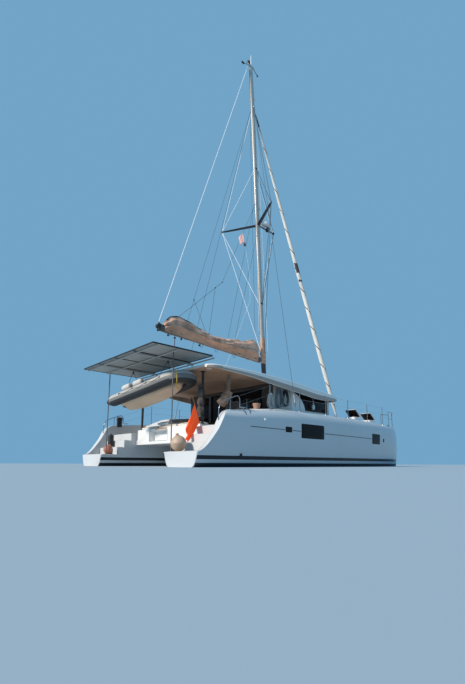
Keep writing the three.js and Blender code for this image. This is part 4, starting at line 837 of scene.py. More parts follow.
def spreader_rings(side):
    """Aerofoil arms: a flattened oval from the mast wall to the tip, narrowing outwards."""
    share = np.linspace(0, 1, 14)[:, None]
    turn = circle(20)[None]
    chord, thick = 0.20 - 0.07 * share, 0.085 - 0.025 * share
    round_off = np.sqrt(1 - np.clip((share - 0.97) / 0.03, 0, 0.97) ** 2)
    x = spreader_x + (SPREADER_TIP[0] - spreader_x) * share + chord / 2 * np.cos(turn) * round_off
    y = side * (0.0755 + (SPREADER_TIP[1] - 0.0755) * share) + 0 * x
    return np.stack([x, y, SPREADER_Z + thick / 2 * np.sin(turn) * round_off], -1)


for word, side in SIDES:
    cap = tube([(-1.0, side * 1.62, 11.26), (-1.0, side * 1.62, 11.35)], 0.035, 16)
    piece(f"spreader_arm_{word}", [loft(spreader_rings(side)), cap], satin_black,
          replaces=f"spreader_{word}")


# The rigging: cap shrouds with grey covers on the screws at their feet, the diamonds over the
# spreaders and down to the gooseneck, halyards beside the mast and to the port spreader, and the
# lazy jacks.
dark_wire = finish("dark_wire", (0.10, 0.12, 0.14), rough=0.35, Metallic=0.5)
pale_wire = finish("pale_wire", (0.80, 0.84, 0.88), rough=0.35)


def rope_finish(name, colour, aged=None, rough=0.7):
    """The finish of braided cord: dull, with a fine relief."""
    return finish(name, colour, aged, rough=rough, fine=300, bump=0.2)


dark_line = rope_finish("dark_line", (0.045, 0.055, 0.07))
white_line = rope_finish("white_line", (0.82, 0.82, 0.80), (0.6, 0.6, 0.58))
rail_grey = finish("rail_grey", (0.30, 0.31, 0.32), (0.20, 0.21, 0.22), rough=0.5)
for word, side in SIDES:
    tip = (SPREADER_TIP[0], side * SPREADER_TIP[1], SPREADER_TIP[2])
    foot = np.array([-2.16, side * 3.62, 2.0236])
    head = np.array([hounds_x, side * 0.112, HOUNDS_Z - 0.002])
    up = (head - foot) / np.linalg.norm(head - foot)
    screw = spin([(0, 0), (0, 0.012), (0.02, 0.016), (0.12, 0.016),
                  (0.13, 0.021), (0.15, 0.021), (0.5, 0.021), (0.52, 0.012), (0.53, 0.006)], foot, up, 16)
    piece(f"shroud_{word}", [tube([foot, foot + up * 4, head], 0.0075, 6), screw],
          dark_wire, replaces=f"cap_shroud_{word}")
    cover = [(0.14, 0), (0.14, 0.022), (0.16, 0.024), (0.44, 0.022), (0.47, 0.015), (0.47, 0)]
    piece(f"screw_cover_{word}", [spin(cover, foot, up, 16)], rail_grey)
    pairs = [(on_mast(HOUNDS_Z - 0.1, y=side * 0.08), tip), (on_mast(14.2, y=side * 0.085), tip),
             (tip, on_mast(7.4, y=side * 0.085)), (tip, on_mast(5.05, y=side * 0.085)),
             (on_mast(14.2, 0.05, side * 0.05), (0.955, side * 0.01, SPREADER_Z)),
             ((0.955, side * 0.01, SPREADER_Z), on_mast(7.4, 0.05, side * 0.05))]
    # Port diamonds in pale wire, starboard ones in dark: lit and shaded copies of one wire, painted light and
    # painted shade.
    piece(f"diamond_wires_{word}", [tube(pair, 0.0115, 6) for pair in pairs],
          pale_wire if side > 0 else dark_wire)
    piece(f"halyards_{word}", [
        tube([on_mast(16.9, -0.1, side * 0.11), on_mast(6.0, -0.34, side * 0.13)], 0.006, 6),
        tube([on_mast(17.2, 0.15, side * 0.08), (0.42 + 0.05 * side, side * 0.16, 3.35)], 0.006, 6)],
          dark_line if side > 0 else white_line)
piece("flag_halyard", [tube([(-0.45, 0.78, 11.29), (-0.02, 0.70, 9.2),
                             (-0.27, 0.42, 7.6), (-0.9, 2.1, 3.38)], 0.004, 6)], white_line)

jack_joint, leg_joint, port_joint = (-2.55, -0.20, 7.59), (-2.92, -0.19, 7.245), (-3.65, 0.28, 6.66)
jacks = [tube(pair, 0.0065, 6)
         for pair in ((on_mast(12.4, -0.1, -0.06), jack_joint), (jack_joint, (-4.62, -0.12, 5.60)),
                      (leg_joint, (-3.19, -0.15, 5.20)), (on_mast(10.9, -0.1, -0.08), (-1.75, -0.15, 5.38)),
                      (on_mast(17.3, -0.1, 0.07), port_joint), (port_joint, (-4.05, 0.15, 5.58)),
                      (port_joint, (-3.0, 0.16, 5.18)), (on_mast(12.4, -0.1, 0.06), (-1.9, 0.15, 5.36)))]
jack_rings = [round_box(np.add(joint, -0.022), np.add(joint, 0.022), 0.012)
              for joint in (jack_joint, leg_joint, port_joint)]
for name, parts in (("lazy_jacks", jacks), ("lazy_jack_rings", jack_rings)):
    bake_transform(piece(name, parts, dark_line, body=None), "boom", "boat", start=(0, 0, 5.9), end=(0, 0, 12.0))


# The boom with its end cap, the sail bag zipped over the lowered sail and strapped on, the canvas
# collar and sleeve round the mast, the topping lift, and the mainsheet with its blocks and its
# traveller on the hardtop.
canvas = finish("canvas", (0.72, 0.38, 0.24), (0.44, 0.22, 0.135), amount=0.75,
                rough=0.85, spread=0.05, coarse=2.2, fine=420, bump=0.35, depth=0.001, Sheen_Weight=0.15)
dark_canvas = finish("dark_canvas", (0.060, 0.050, 0.048), (0.10, 0.085, 0.08),
                     rough=0.85, coarse=3, fine=420, bump=0.3)


def boom_z(x):
    """Height of the boom's middle, which rises a little from the gooseneck aft."""
    return GOOSENECK[2] + (GOOSENECK[0] - x) * 0.06


ring = rounded_outline(0.15, 0.26, 0.05, 4)
boom_x = np.array([-0.1106, -0.125, -0.15, -2.0, -4.0, -5.4])
shrink = np.array([0.85, 0.97, 1, 1, 1, 1])
boom_body = loft(np.stack([
    np.broadcast_to(boom_x[:, None], (len(boom_x), len(ring))), shrink[:, None] * ring[:, 0],
    boom_z(boom_x)[:, None] + shrink[:, None] * ring[:, 1]], -1))
end_z = boom_z(-5.48)
tongue = round_box((-0.14, -0.022, 4.6665), (-0.04, 0.022, 4.7335), 0.008)
eye = tube([(GOOSENECK[0], 0, 4.6665), (GOOSENECK[0], 0, 4.7335)], 0.028, 20)
# The boom's grey is painted dark for the shadow under the sail bag.
boom_grey_and_shadow = finish("boom_grey_and_shadow", (0.13, 0.115, 0.105), rough=0.35, Metallic=0.5)
piece("boom_spar", [boom_body, *[tilted(part, -RAKE, GOOSENECK) for part in (tongue, eye)]], boom_grey_and_shadow,
      body="boom", replaces="boom")
piece("boom_end", [round_box((-5.475, -0.083, end_z - 0.155), (-5.398, 0.083, end_z + 0.135), 0.03),
                   tube([(-5.44, 0, end_z + 0.13), (-5.44, 0, end_z + 0.188)], 0.022, 14),
                   spin([(0, 0), (0, 0.07), (0.012, 0.085), (0.16, 0.085), (0.172, 0.07), (0.172, 0)],
                        (-5.45, -0.086, end_z + 0.03), (0, 1, 0), 28)], satin_black, body="boom")

BAG_ROWS = np.array([
    # place, height over the boom, half width at its middle, half width at the top
    [-5.235, 0.10, 0.095, 0.050], [-5.16, 0.20, 0.118, 0.060], [-4.60, 0.535, 0.150, 0.068],
    [-3.90, 0.435, 0.180, 0.085], [-2.90, 0.245, 0.188, 0.098], [-2.20, 0.325, 0.190, 0.098],
    [-1.50, 0.465, 0.190, 0.096], [-1.00, 0.535, 0.188, 0.088], [-0.56, 0.735, 0.168, 0.078],
    [-0.26, 0.620, 0.130, 0.058],
])


def bag_surface():
    """The zipped bag: up one side from the boom, over and down the other. Half width swells to
    its middle and draws in to the top; the cloth sags in scallops between the battens, creases
    run down and aft from the top, and the lowered sail shows in long folds."""
    x = np.linspace(-5.235, -0.26, 150)
    height, middle, top = through_rows(BAG_ROWS, x).T[:, :, None]
    angle = np.linspace(-1, 1, 64)[None]
    rise = 1 - np.abs(angle) ** 1.5
    width = 0.088 + (middle - 0.088) * np.clip((rise - 0.12) / 0.25, 0, 1) ** 0.7
    width = width + (top - middle) * np.clip((rise - 0.42) / 0.5, 0, 1) ** 1.3
    y = np.sign(angle) * width * np.clip(np.abs(angle) / 0.32, 0, 1) ** 0.75
    station, hang = x[:, None], np.clip(rise, 0, 1)
    scallop = -0.030 * np.abs(np.sin(station * 3.9 + 0.4)) * hang ** 2 * np.minimum(height / 0.4, 1)
    wander = 15 * hang + 3.0 * np.sin(1.7 * station) + 0.8 * angle
    fold = 0.026 * np.sin(wander) * np.sin(np.pi * hang) ** 0.6
    crease = 0.020 * np.sin(15 * station + 11 * hang + 2.5 * np.sin(2.3 * station)) * (0.2 + 0.8 * hang)
    out = np.sign(y) * (fold + crease) * np.clip(np.abs(y) / 0.05, 0, 1)
    z = boom_z(station) - 0.115 + (height + 0.245) * rise ** 0.9 + scallop + 0.5 * crease
    ends = np.clip(np.minimum(station - x[0], x[-1] - station) / 0.03, 0, 1) ** 0.5
    y = (y + out) * (0.75 + 0.25 * ends)
    return np.stack([np.broadcast_to(station, y.shape), y, z], -1)


bag_rings = bag_surface()
bag = piece("sail_bag_cloth", [loft(bag_rings)], canvas, body="boom",
            replaces="sail_bag", crease=60)
folded_cloth = finish("folded_cloth", (0.80, 0.47, 0.33), (0.34, 0.19, 0.13), amount=0.9, rough=0.85,
                      spread=0.05, coarse=3.2, fine=420, bump=0.35, depth=0.001, Sheen_Weight=0.15)
middle = middles_of(bag)
bag_height = through_rows(BAG_ROWS, middle[:, 0])[:, 0]
repaint(bag, middle[:, 2] > boom_z(middle[:, 0]) + 0.05 + 0.30 * bag_height, folded_cloth)
ridge = bag_rings[:, 31:33].mean(1)
piece("bag_zip", [tube(ridge[4:70] + (0, 0, 0.004), 0.026, 8)], dark_canvas, body="boom")
piece("bag_seams", [tube(bag_rings[3:147, k] + (0, math.copysign(0.002, k - 32), 0), 0.007, 6)
                    for k in (10, 53)], dark_canvas, body="boom")
straps = []
turn = np.linspace(0, np.pi, 12)
for x, drop in ((-4.9, 0.03), (-4.2, 0.03), (-3.43, 0.15), (-2.67, 0.15), (-1.67, 0.15), (-0.85, 0.03)):
    under = boom_z(x) - 0.11 - (0.025 + drop * 0.9) * np.sin(turn)
    straps.append(tube(np.column_stack([np.full(12, x), -0.083 * np.cos(turn), under]), 0.007, 6))
piece("bag_straps", straps, dark_line, body="boom")


def collar_rings():
    """A closed canvas wrap: angles from -150 to 150 degrees round the mast's front and back
    along its inner face; soft horizontal folds."""
    z = np.linspace(4.56, 5.74, 40)[:, None]
    sweep = np.radians(np.linspace(-150, 150, 56))[None]
    fold = 0.007 * np.sin(34 * z + 1.5 * np.sin(3 * sweep)) + 0.006 * np.sin(13 * z + 2 * sweep)
    outer = 0.026 + fold - 0.012 * np.cos(np.pi * (z - 4.56) / 1.18) ** 8
    rings = []
    for grow in (outer, 0.004 + 0 * fold):
        rings.append(np.stack([mast_x(z) + (MAST_HALF[0] + grow) * np.cos(sweep),
                               (MAST_HALF[1] + grow) * np.sin(sweep), z + 0 * sweep], -1))
    return np.concatenate([rings[0], rings[1][:, ::-1]], 1)


piece("mast_collar_cloth", [loft(collar_rings())], canvas, replaces="mast_collar", crease=60)
turn = circle(32)
sleeve = [np.column_stack([mast_x(z) + 0.126 * np.cos(turn), 0.081 * np.sin(turn), np.full(32, z)])
          for z in np.linspace(3.42, 4.57, 24)]
piece("mast_sleeve", [loft(sleeve)], dark_canvas)
lift_foot, lift_head = (-5.44, 0, end_z + 0.19), (mast_x(19.837) - 0.18, 0, 19.837)
piece("topping_line", [tube([lift_foot, lift_head], 0.015, 6)], pale_wire, body="boom",
      replaces="topping_lift")
sheet_red = rope_finish("sheet_red", (0.30, 0.03, 0.05))
SHEET_X, ROOF_TOP = -4.72, 3.325
under_boom = boom_z(SHEET_X) - 0.13


def sheave(x, z):
    """A small block's drum, lying across the boat."""
    return spin([(0, 0), (0, 0.03), (0.006, 0.04), (0.034, 0.04), (0.04, 0.03), (0.04, 0)],
                (x, -0.02, z), (0, 1, 0))


blocks = ((-5.02, 4.80), (SHEET_X, under_boom - 0.09), (-4.42, 4.77), (-3.55, 4.70))
piece("mainsheet_blocks", [sheave(x, z) for x, z in blocks], trim_black, body="boom")
piece("block_straps", [tube([(x, 0, z + 0.02), (x, 0, boom_z(x) - 0.12)], 0.006, 6) for x, z in blocks],
      trim_black, body="boom")
sheet_z = np.linspace(ROOF_TOP + 0.09, under_boom - 0.09, 14)
falls = [tube(np.column_stack([np.full(14, SHEET_X + 0.025 * k), np.full(14, 0.03 * k), sheet_z]), 0.0085, 6)
         for k in (-1, 0, 1)]
mainsheet = piece("mainsheet", falls, sheet_red, body=None)
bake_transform(mainsheet, "boat", "boom", start=(SHEET_X, 0, ROOF_TOP + 0.1), end=(SHEET_X, 0, under_boom - 0.1))
piece("traveller", [
    round_box((SHEET_X - 0.03, -0.9, ROOF_TOP - 0.035), (SHEET_X + 0.03, 0.9, ROOF_TOP), 0.008),
    round_box((SHEET_X - 0.05, -0.05, ROOF_TOP - 0.005), (SHEET_X + 0.05, 0.05, ROOF_TOP + 0.03), 0.012),
    sheave(SHEET_X, ROOF_TOP + 0.06)], satin_black)


# The furled jib: cloth wound on its foil in a long spiral, with the dark edge of its
# protection strip showing here and there and its starboard side near the head painted dark as
# shade; the drum at its foot, and the ends of the stay.
sailcloth = finish("sailcloth", (0.80, 0.77, 0.71), (0.64, 0.60, 0.53),
                   amount=0.5, rough=0.7, coarse=1.6, fine=300, bump=0.25)
# Dark cloth of the protection strip, used also for the painted shade near the jib's head.
strip_and_shade_cloth = finish("strip_and_shade_cloth", (0.075, 0.060, 0.070), rough=0.75, fine=300, bump=0.25)
STAY_FOOT, STAY_HEAD = np.array([5.994, 0, 2.2]), np.array([-0.32, 0, 17.47])
# Height and radius of the roll, and the climb of one turn of the cloth
JIB_ROWS = np.array([[2.335, 0.045], [2.7, 0.047], [3.3, 0.092], [5.2, 0.118], [8.5, 0.108], [12.5, 0.082],
                     [16.2, 0.052], [17.28, 0.026]])
JIB_PITCH = 0.95


def stay_at(z):
    """The points of the stay at those heights."""
    z = np.asarray(z, float)
    share = (z - STAY_FOOT[2]) / (STAY_HEAD[2] - STAY_FOOT[2])
    return STAY_FOOT + share[..., None] * (STAY_HEAD - STAY_FOOT)


def jib_rings():
    """Rings square to the stay; the wound leech makes a step that climbs in a spiral, and the
    cloth between its turns is a little slack."""
    z = np.linspace(JIB_ROWS[0, 0], JIB_ROWS[-1, 0], 420)
    along = (STAY_HEAD - STAY_FOOT) / np.linalg.norm(STAY_HEAD - STAY_FOOT)
    across = np.cross(along, (0, 1, 0))
    turn = circle(28)[None]
    radius = through_rows(JIB_ROWS, z)
    wound = ((turn + 2 * np.pi * z[:, None] / JIB_PITCH) / (2 * np.pi)) % 1
    edge = np.minimum(wound / 0.12, 1) - wound
    slack = 0.35 * np.sin(5 * turn + 4.1 * z[:, None]) * np.sin(2.7 * z[:, None])
    radius = radius * (0.93 + 0.07 * edge + 0.02 * slack)
    ring = np.cos(turn)[..., None] * across + np.sin(turn)[..., None] * np.array([0, 1, 0])
    return stay_at(z)[:, None] + radius[..., None] * ring


jib = piece("jib_roll", [loft(jib_rings())], sailcloth, body="jib", replaces="furled_jib",
            crease=60, weld=1e-7)
middle = middles_of(jib)
offset = middle - stay_at(middle[:, 2])
spiral = (np.arctan2(offset[:, 1], offset[:, 0]) / (2 * np.pi) + middle[:, 2] / JIB_PITCH) % 1
# Dark on the starboard half: the strip in bands at 9.45 and 10.07 m, and painted shade above 16.7 m.
strip_and_shade = (np.abs(middle[:, 2] - 10.07) < 0.24) | (np.abs(middle[:, 2] - 9.45) < 0.05) | (middle[:, 2] > 16.7)
repaint(jib, (spiral < 0.07) & (middle[:, 2] > 2.6) | (strip_and_shade & (offset[:, 1] < 0.03)), strip_and_shade_cloth)
piece("furler_drum", [spin([(0, 0), (0, 0.09), (0.006, 0.095), (0.018, 0.095), (0.024, 0.06),
                            (0.068, 0.06), (0.074, 0.095), (0.086, 0.095), (0.0915, 0.09), (0.0915, 0)],
                           stay_at(2.2405), STAY_HEAD - STAY_FOOT, 32)], satin_black, body="jib")
for end, width in (("foot", 0.004), ("head", 0.001)):
    eased(f"forestay_{end}", f"stay_{end}", stainless, width)


# On deck: four hatches with dark acrylic lids in alloy rims, the starboard two half open,
# foredeck lockers, pads of non-skid paint, chainplates, and mooring cleats along the gunwales.
# Hatches as name, place of the hinge and height of the top; pads as their ends along the hull
# and out from its centreline
HATCHES = (("aft", 2.9, 2.085), ("forward", 4.13, 2.035))
HATCH_SIZE, HATCH_OPEN = 0.52, 38
PADS = [((-3.3, 2.25), (-0.74, 0.50)), ((3.02, 3.52), (-0.70, 0.40)), ((4.24, 5.3), (-0.40, 0.30))]
# Sections of a hatch's frame and of its lid's rim: inset, and height over the hatch's top
FRAME_RIM = [(0, -0.13), (0, -0.012), (0.010, -0.0005), (0.045, -0.0005), (0.052, -0.008), (0.052, -0.13)]
LID_RIM = [(0, 0.001), (0, 0.029), (0.006, 0.035), (0.018, 0.035), (0.024, 0.029), (0.024, 0.001)]
alloy = finish("alloy", (0.60, 0.62, 0.64), rough=0.35, Metallic=0.4)


def rim(outline, profile):
    """A closed frame along a level outline of (x, y): its section as (inset, height) pairs."""
    outline = np.asarray(outline, float)
    along = np.roll(outline, -1, 0) - np.roll(outline, 1, 0)
    inward = np.stack([-along[:, 1], along[:, 0]], -1) / np.linalg.norm(along, axis=1, keepdims=True)
    rings = [np.column_stack([outline + inset * inward, np.full(len(outline), height)])
             for inset, height in profile]
    return loft(np.array([*rings, rings[0]]), caps=False)


def deck_height(x, out):
    """Height of a hull's cambered deck at x, that far outboard of the hull's own centreline."""
    rows = through_rows(HULL_ROWS, np.ravel(x)).reshape(*np.shape(x), 8)
    _, _, _, inner, _, gunwale, rail, deck = np.moveaxis(rows, -1, 0)
    wall = np.minimum(BULWARK_HALF, gunwale * 0.8)
    crown = rail + CROWN_RISE
    return crown + (deck - crown) * np.clip((wall - out) / (wall + inner * CAMBER_FROM), 0, 1) ** 0.9


def deck_pad(side, x_ends, out_ends):
    """A thin sheet on the deck: rows across it, each out along the top and back along the underside."""
    x = np.linspace(*x_ends, 24)[:, None]
    out = np.linspace(*out_ends, 10)[None]
    edge = np.minimum(1, np.minimum(x - x_ends[0], x_ends[1] - x) / 0.03 + 0.2)
    top = deck_height(x + 0 * out, out + 0 * x) + 0.006 * edge
    rows = [np.stack(np.broadcast_arrays(x, side * (HULL_Y + out), z), -1) for z in (top, top - 0.012)]
    return loft(np.concatenate([rows[0], rows[1][:, ::-1]], 1))


for word, side in SIDES:
    y = side * HULL_Y
    frames, wells = [], []
    for place, hinge, top in HATCHES:
        middle = np.array([hinge - HATCH_SIZE / 2, y])
        frames.append(rim(middle + rounded_outline(0.54, HATCH_SIZE, 0.08), np.add(FRAME_RIM, (0, top))))
        wells.append(round_box((hinge - 0.49, y - 0.22, top - 0.06),
                               (hinge - 0.03, y + 0.22, top - 0.024), 0.01))
        opened = HATCH_OPEN if side < 0 else 0
        shut = [round_box((hinge - 0.507, y - 0.247, top + 0.008),
                          (hinge - 0.013, y + 0.247, top + 0.0345), 0.013),
                rim(middle + rounded_outline(HATCH_SIZE, HATCH_SIZE, 0.07), np.add(LID_RIM, (0, top)))]
        shut += [round_box((hinge - 0.46, low, top - 0.012), (hinge - 0.43, low + 0.06, top + 0.012), 0.008)
                 for low in (y - 0.16, y + 0.10)]
        pane, lid_rim, *catches = [tilted(part, opened, (hinge, y, top)) for part in shut]
        body = f"hatch_{place}_{word}"
        piece(f"{body}_lid", [pane], dark_glass, body=body, replaces=body)
        piece(f"{body}_rim", [lid_rim], alloy, body=body)
        piece(f"{body}_catches", catches, trim_black, body=body)
    piece(f"hatch_frames_{word}", frames, gelcoat)
    piece(f"hatch_wells_{word}", wells, trim_black)
    lid, pad, pull = to_side(side, [
        round_box((2.33, 0.18, 2.0503), (3.13, 1.18, 2.085), 0.012),
        round_box((2.38, 0.23, 2.07), (3.08, 1.13, 2.0865), 0.002),
        round_box((2.41, 0.62, 2.08), (2.45, 0.74, 2.091), 0.008)])
    body = f"locker_lid_{word}"
    piece(f"locker_cover_{word}", [lid], gelcoat, body=body, replaces=body)
    piece(f"locker_pad_{word}", [pad], non_skid, body=body)
    piece(f"locker_pull_{word}", [pull], stainless, body=body)
    piece(f"deck_pads_{word}", [deck_pad(side, *ends) for ends in PADS], non_skid)
    plate = round_box((-2.205, 3.612, 1.82), (-2.115, 3.628, 2.0195), 0.006)
    pin = spin([(0, 0), (0, 0.014), (0.04, 0.014), (0.04, 0)], (-2.16, 3.60, 1.985), (0, 1, 0), 14)
    cleats = []
    for x in (-4.65, 0.30, 4.85):
        row = through_rows(HULL_ROWS, [x])[0]
        out, seat = HULL_Y + 0.86 * row[5], row[6] + 0.018
        horn = np.array([(-0.13, 0.052), (-0.08, 0.062), (0, 0.058), (0.08, 0.062), (0.13, 0.052)])
        cleats.append(tube(np.column_stack([x + horn[:, 0], np.full(5, out), seat + horn[:, 1]]),
                           (0.007, 0.012, 0.014, 0.012, 0.007), 12))
        cleats += [spin([(0, 0), (0, 0.026), (0.008, 0.022), (0.02, 0.012), (0.06, 0.011), (0.06, 0)],
                        (x + d, out, seat - 0.004), sides=12) for d in (-0.04, 0.04)]
    piece(f"deck_fittings_{word}", to_side(side, [plate, pin, *cleats]), stainless)


# Between the bows: the crossbeam and the spine that runs out to it, with a roller on its nose,
# and two nets of crossed cord, each in a rope edge laced to the hull.
# A net's outer edge as place and distance from the middle; its pitch, inner edge and height
NET_EDGE = np.array([(3.357, 2.01), (3.4, 2.013), (4.2, 2.085), (5.0, 2.23), (5.6, 2.405), (5.9185, 2.532)])
NET_PITCH, NET_INNER, NET_Z = 0.045, 0.0603, 1.647
net_cord = rope_finish("net_cord", (0.66, 0.67, 0.66), (0.48, 0.48, 0.46), rough=0.8)
beam_grey = finish("beam_grey", (0.55, 0.55, 0.54), rough=0.35, Metallic=0.5)
piece("forward_crossbeam",
      [spin([(0, 0), (0, 0.072), (0.01, 0.075), (5.25, 0.075), (5.26, 0.072), (5.26, 0)],
            (5.99, -2.63, 1.64), (0, 1, 0), 32), round_box((5.95, -0.06, 1.57), (6.29, 0.06, 1.71), 0.02)],
      beam_grey, replaces="crossbeam")
piece("spine", [round_box((3.35, -0.06, 1.57), (5.93, 0.06, 1.71), 0.022)], gelcoat,
      replaces="spine_beam")
piece("nose_roller",
      [spin([(0, 0), (0, 0.03), (0.03, 0.018), (0.06, 0.03), (0.06, 0)], (6.24, -0.03, 1.715), (0, 1, 0)),
       *[round_box((6.05, low, 1.705), (6.285, low + 0.013, 1.745), 0.005) for low in (-0.045, 0.032)]],
      stainless)


def net_strands(side):
    """Straight cords a pitch apart along and across, the second layer lying on the first."""
    strands = []
    lower, upper = NET_Z - 0.0025, NET_Z + 0.0025
    for x in np.arange(3.38, 5.91, NET_PITCH):
        strands.append([(x, NET_INNER + 0.01, lower), (x, np.interp(x, *NET_EDGE.T), lower)])
    for y in np.arange(NET_INNER + 0.02, 2.52, NET_PITCH):
        start = 3.362 if y < 2.01 else np.interp(y, NET_EDGE[:, 1], NET_EDGE[:, 0])
        strands.append([(start, y, upper), (5.912, y, upper)])
    return [tube(np.array(s) * (1, side, 1), 0.003, 4) for s in strands]


for word, side in SIDES:
    inner = NET_INNER + 0.008
    edge = np.vstack([[(3.365, inner)], NET_EDGE + (0.008, -0.008), [(5.910, inner)], [(3.365, inner)]])
    rope = np.column_stack([edge[:, 0], side * edge[:, 1], np.full(len(edge), NET_Z)])
    long_rope = [tube(rope[i:i + 2], 0.007, 8) for i in range(len(rope) - 1)]
    piece(f"net_{word}", net_strands(side) + long_rope, net_cord,
          replaces=f"trampoline_{word}")
    x = np.arange(3.55, 5.85, 0.21)
    hull_face = HULL_Y - through_rows(HULL_ROWS, x)[:, 3] + 0.012
    lacing = [tube([(a, side * np.interp(b, *NET_EDGE.T), NET_Z), (b, side * (face + 0.004), 1.66)],
                   0.004, 6) for a, b, face in zip(x, x + 0.06, hull_face)]
    piece(f"net_lacing_{word}", lacing, white_line)


# Rails: a pulpit on each bow, stanchions with two wires along each side, and a hoop at the
# stern, all in polished tube.
def curve_through(points, steps=8):
    """A smooth line through points: between each two, the cubic with half the chord over its
    neighbours as its slope at either end."""
    points = np.asarray(points, float)
    slope = np.gradient(points, axis=0)
    t = np.linspace(0, 1, steps, endpoint=False)[None, :, None]
    a, b, m, n = points[:-1, None], points[1:, None], slope[:-1, None], slope[1:, None]
    line = ((2 * t ** 3 - 3 * t * t + 1) * a + (t ** 3 - 2 * t * t + t) * m
            + (3 * t * t - 2 * t ** 3) * b + (t ** 3 - t * t) * n)
    return np.vstack([line.reshape(-1, points.shape[1]), points[-1:]])


def on_hull(side, points):
    """(x, distance outboard of the hull's centreline, z) as points of the boat."""
    x, out, z = np.asarray(points, float).T
    return np.column_stack([x, side * (HULL_Y + out), z])


rail_steel = finish("rail_steel", (0.34, 0.34, 0.35), (0.24, 0.23, 0.22), rough=0.2, Metallic=0.9)
PULPIT = [(4.95, 0.47, 2.49), (5.6, 0.32, 2.51), (5.98, 0.16, 2.50),
          (6.08, 0.06, 2.485), (6.08, -0.06, 2.485), (5.98, -0.15, 2.49), (5.65, -0.26, 2.49)]
STANCHIONS = (4.24, 2.71, 1.18, -0.35, -1.88, -3.41)
STERN_HOOP = [(-4.78, 0.72, 1.76), (-4.78, 0.725, 1.98), (-4.84, 0.73, 2.09), (-4.98, 0.735, 2.08),
              (-5.42, 0.74, 1.90), (-5.56, 0.745, 1.80), (-5.62, 0.745, 1.66), (-5.64, 0.745, 1.32)]
for word, side in SIDES:
    bars = [tube(curve_through(on_hull(side, PULPIT)), 0.014, 12)]
    for x, out in ((4.95, 0.47), (5.6, 0.32), (6.06, 0.09), (5.65, -0.26)):
        low = through_rows(HULL_ROWS, [x])[0, 6] - 0.01
        bars.append(tube(on_hull(side, [(x, out, low), (x, out, 2.2), (x, out, 2.487)]), 0.013, 12))
        bars.append(spin([(0, 0), (0, 0.034), (0.008, 0.032), (0.012, 0.02), (0.05, 0.018), (0.05, 0)],
                         on_hull(side, [(x, out, low + 0.018)])[0], sides=16))
    bars.append(tube(on_hull(side, [(4.95, 0.47, 2.18), (5.6, 0.32, 2.19)]), 0.010, 10))
    piece(f"pulpit_rail_{word}", bars, rail_steel, replaces=f"pulpit_{word}")
    row = through_rows(HULL_ROWS, STANCHIONS)
    feet = list(zip(STANCHIONS, 0.86 * row[:, 5], row[:, 6]))
    posts = []
    for x, out, low in feet:
        posts.append(tube(on_hull(side, [(x, out, low), (x, out, 2.3), (x, out, 2.63)]), 0.0125, 12))
        posts.append(spin([(0, 0), (0, 0.036), (0.01, 0.034), (0.014, 0.02), (0.07, 0.018), (0.07, 0)],
                          on_hull(side, [(x, out, low + 0.016)])[0], sides=16))
    for height in (2.60, 2.31):
        wire = [(4.93, 0.455, height - 0.15), *[(x, out, height) for x, out, _ in feet],
                (-4.78, 0.72, height - 0.48)]
        posts.append(tube(on_hull(side, wire), 0.003, 6))
    posts.append(tube(curve_through(on_hull(side, STERN_HOOP)), 0.014, 12))
    posts.append(tube(on_hull(side, [(-5.18, 0.735, 1.66), (-5.18, 0.74, 1.995)]), 0.011, 10))
    piece(f"side_rail_{word}", posts, rail_steel, replaces=f"guard_rail_{word}")


# Over the stern: an arch of beams, cross tubes and legs that carries four solar panels, with the
# four falls on which the dinghy hangs under it.
SOLAR_X, SOLAR_HALF = (-7.12, -4.85), 2.41
SLING_X, BEAM_Y = -5.744, 1.15
DINGHY_AT = np.array([SLING_X, -0.107, 2.556])
DINGHY_TILT, DINGHY_TURN = math.radians(9.6), math.radians(10)
arch_pale = finish("arch_pale", (0.46, 0.45, 0.42), rough=0.5)
arch_dark = finish("arch_dark", (0.13, 0.115, 0.105), rough=0.4, Metallic=0.2)


def in_dinghy(points):
    """(towards its bow, to its side, up) in the dinghy as points of the boat."""
    ahead, aside, up = np.moveaxis(np.asarray(points, float), -1, 0)
    run = ahead * math.cos(DINGHY_TILT) - up * math.sin(DINGHY_TILT)
    rise = ahead * math.sin(DINGHY_TILT) + up * math.cos(DINGHY_TILT)
    cosine, sine = math.cos(DINGHY_TURN), math.sin(DINGHY_TURN)
    return DINGHY_AT + np.stack([run * sine - aside * cosine, -aside * sine - run * cosine, rise], -1)


arch, legs = [], []
for side in (1, -1):
    arch.append(round_box((-7.02, side * BEAM_Y - 0.03, 3.493),
                          (-4.69, side * BEAM_Y + 0.03, 3.5595), 0.014))
    leg = (-6.2, side * 2.12)
    legs.append(tube([(*leg, 0.4405), (*leg, 2.0), (*leg, 3.50)], 0.018, 16))
    legs.append(spin([(0, 0), (0, 0.05), (0.008, 0.05), (0.014, 0.024), (0.06, 0.021), (0.06, 0)],
                     (*leg, 0.4405), sides=20))
    arch.append(spin([(0, 0), (0, 0.028), (0.012, 0.028), (0.02, 0.02), (0.20, 0.02), (0.20, 0)],
                     (-4.75, side * BEAM_Y, 3.3105), sides=20))
for x in (-6.95, -6.2, -4.75):
    arch.append(tube([(x, -2.35, 3.528), (x, 0, 3.528), (x, 2.35, 3.528)], 0.025, 16))
    arch += [round_box((x - 0.03, y - 0.02, 3.54), (x + 0.03, y + 0.02, 3.562), 0.006)
             for y in (-2.3, -1.205, 0, 1.205, 2.3)]
slings = [(1, (-0.9, 0.46, 0)), (1, (-0.9, -0.46, 0)), (-1, (0.7, 0.4324, 0.04)), (-1, (0.7, -0.4324, 0.04))]
falls = [tube([(SLING_X, side * BEAM_Y, 3.498), in_dinghy(end)], 0.007, 6) for side, end in slings]
piece("solar_arch", arch, arch_pale, replaces="solar_frame")
piece("arch_legs", legs, arch_dark)
piece("dinghy_falls", falls, dark_line)
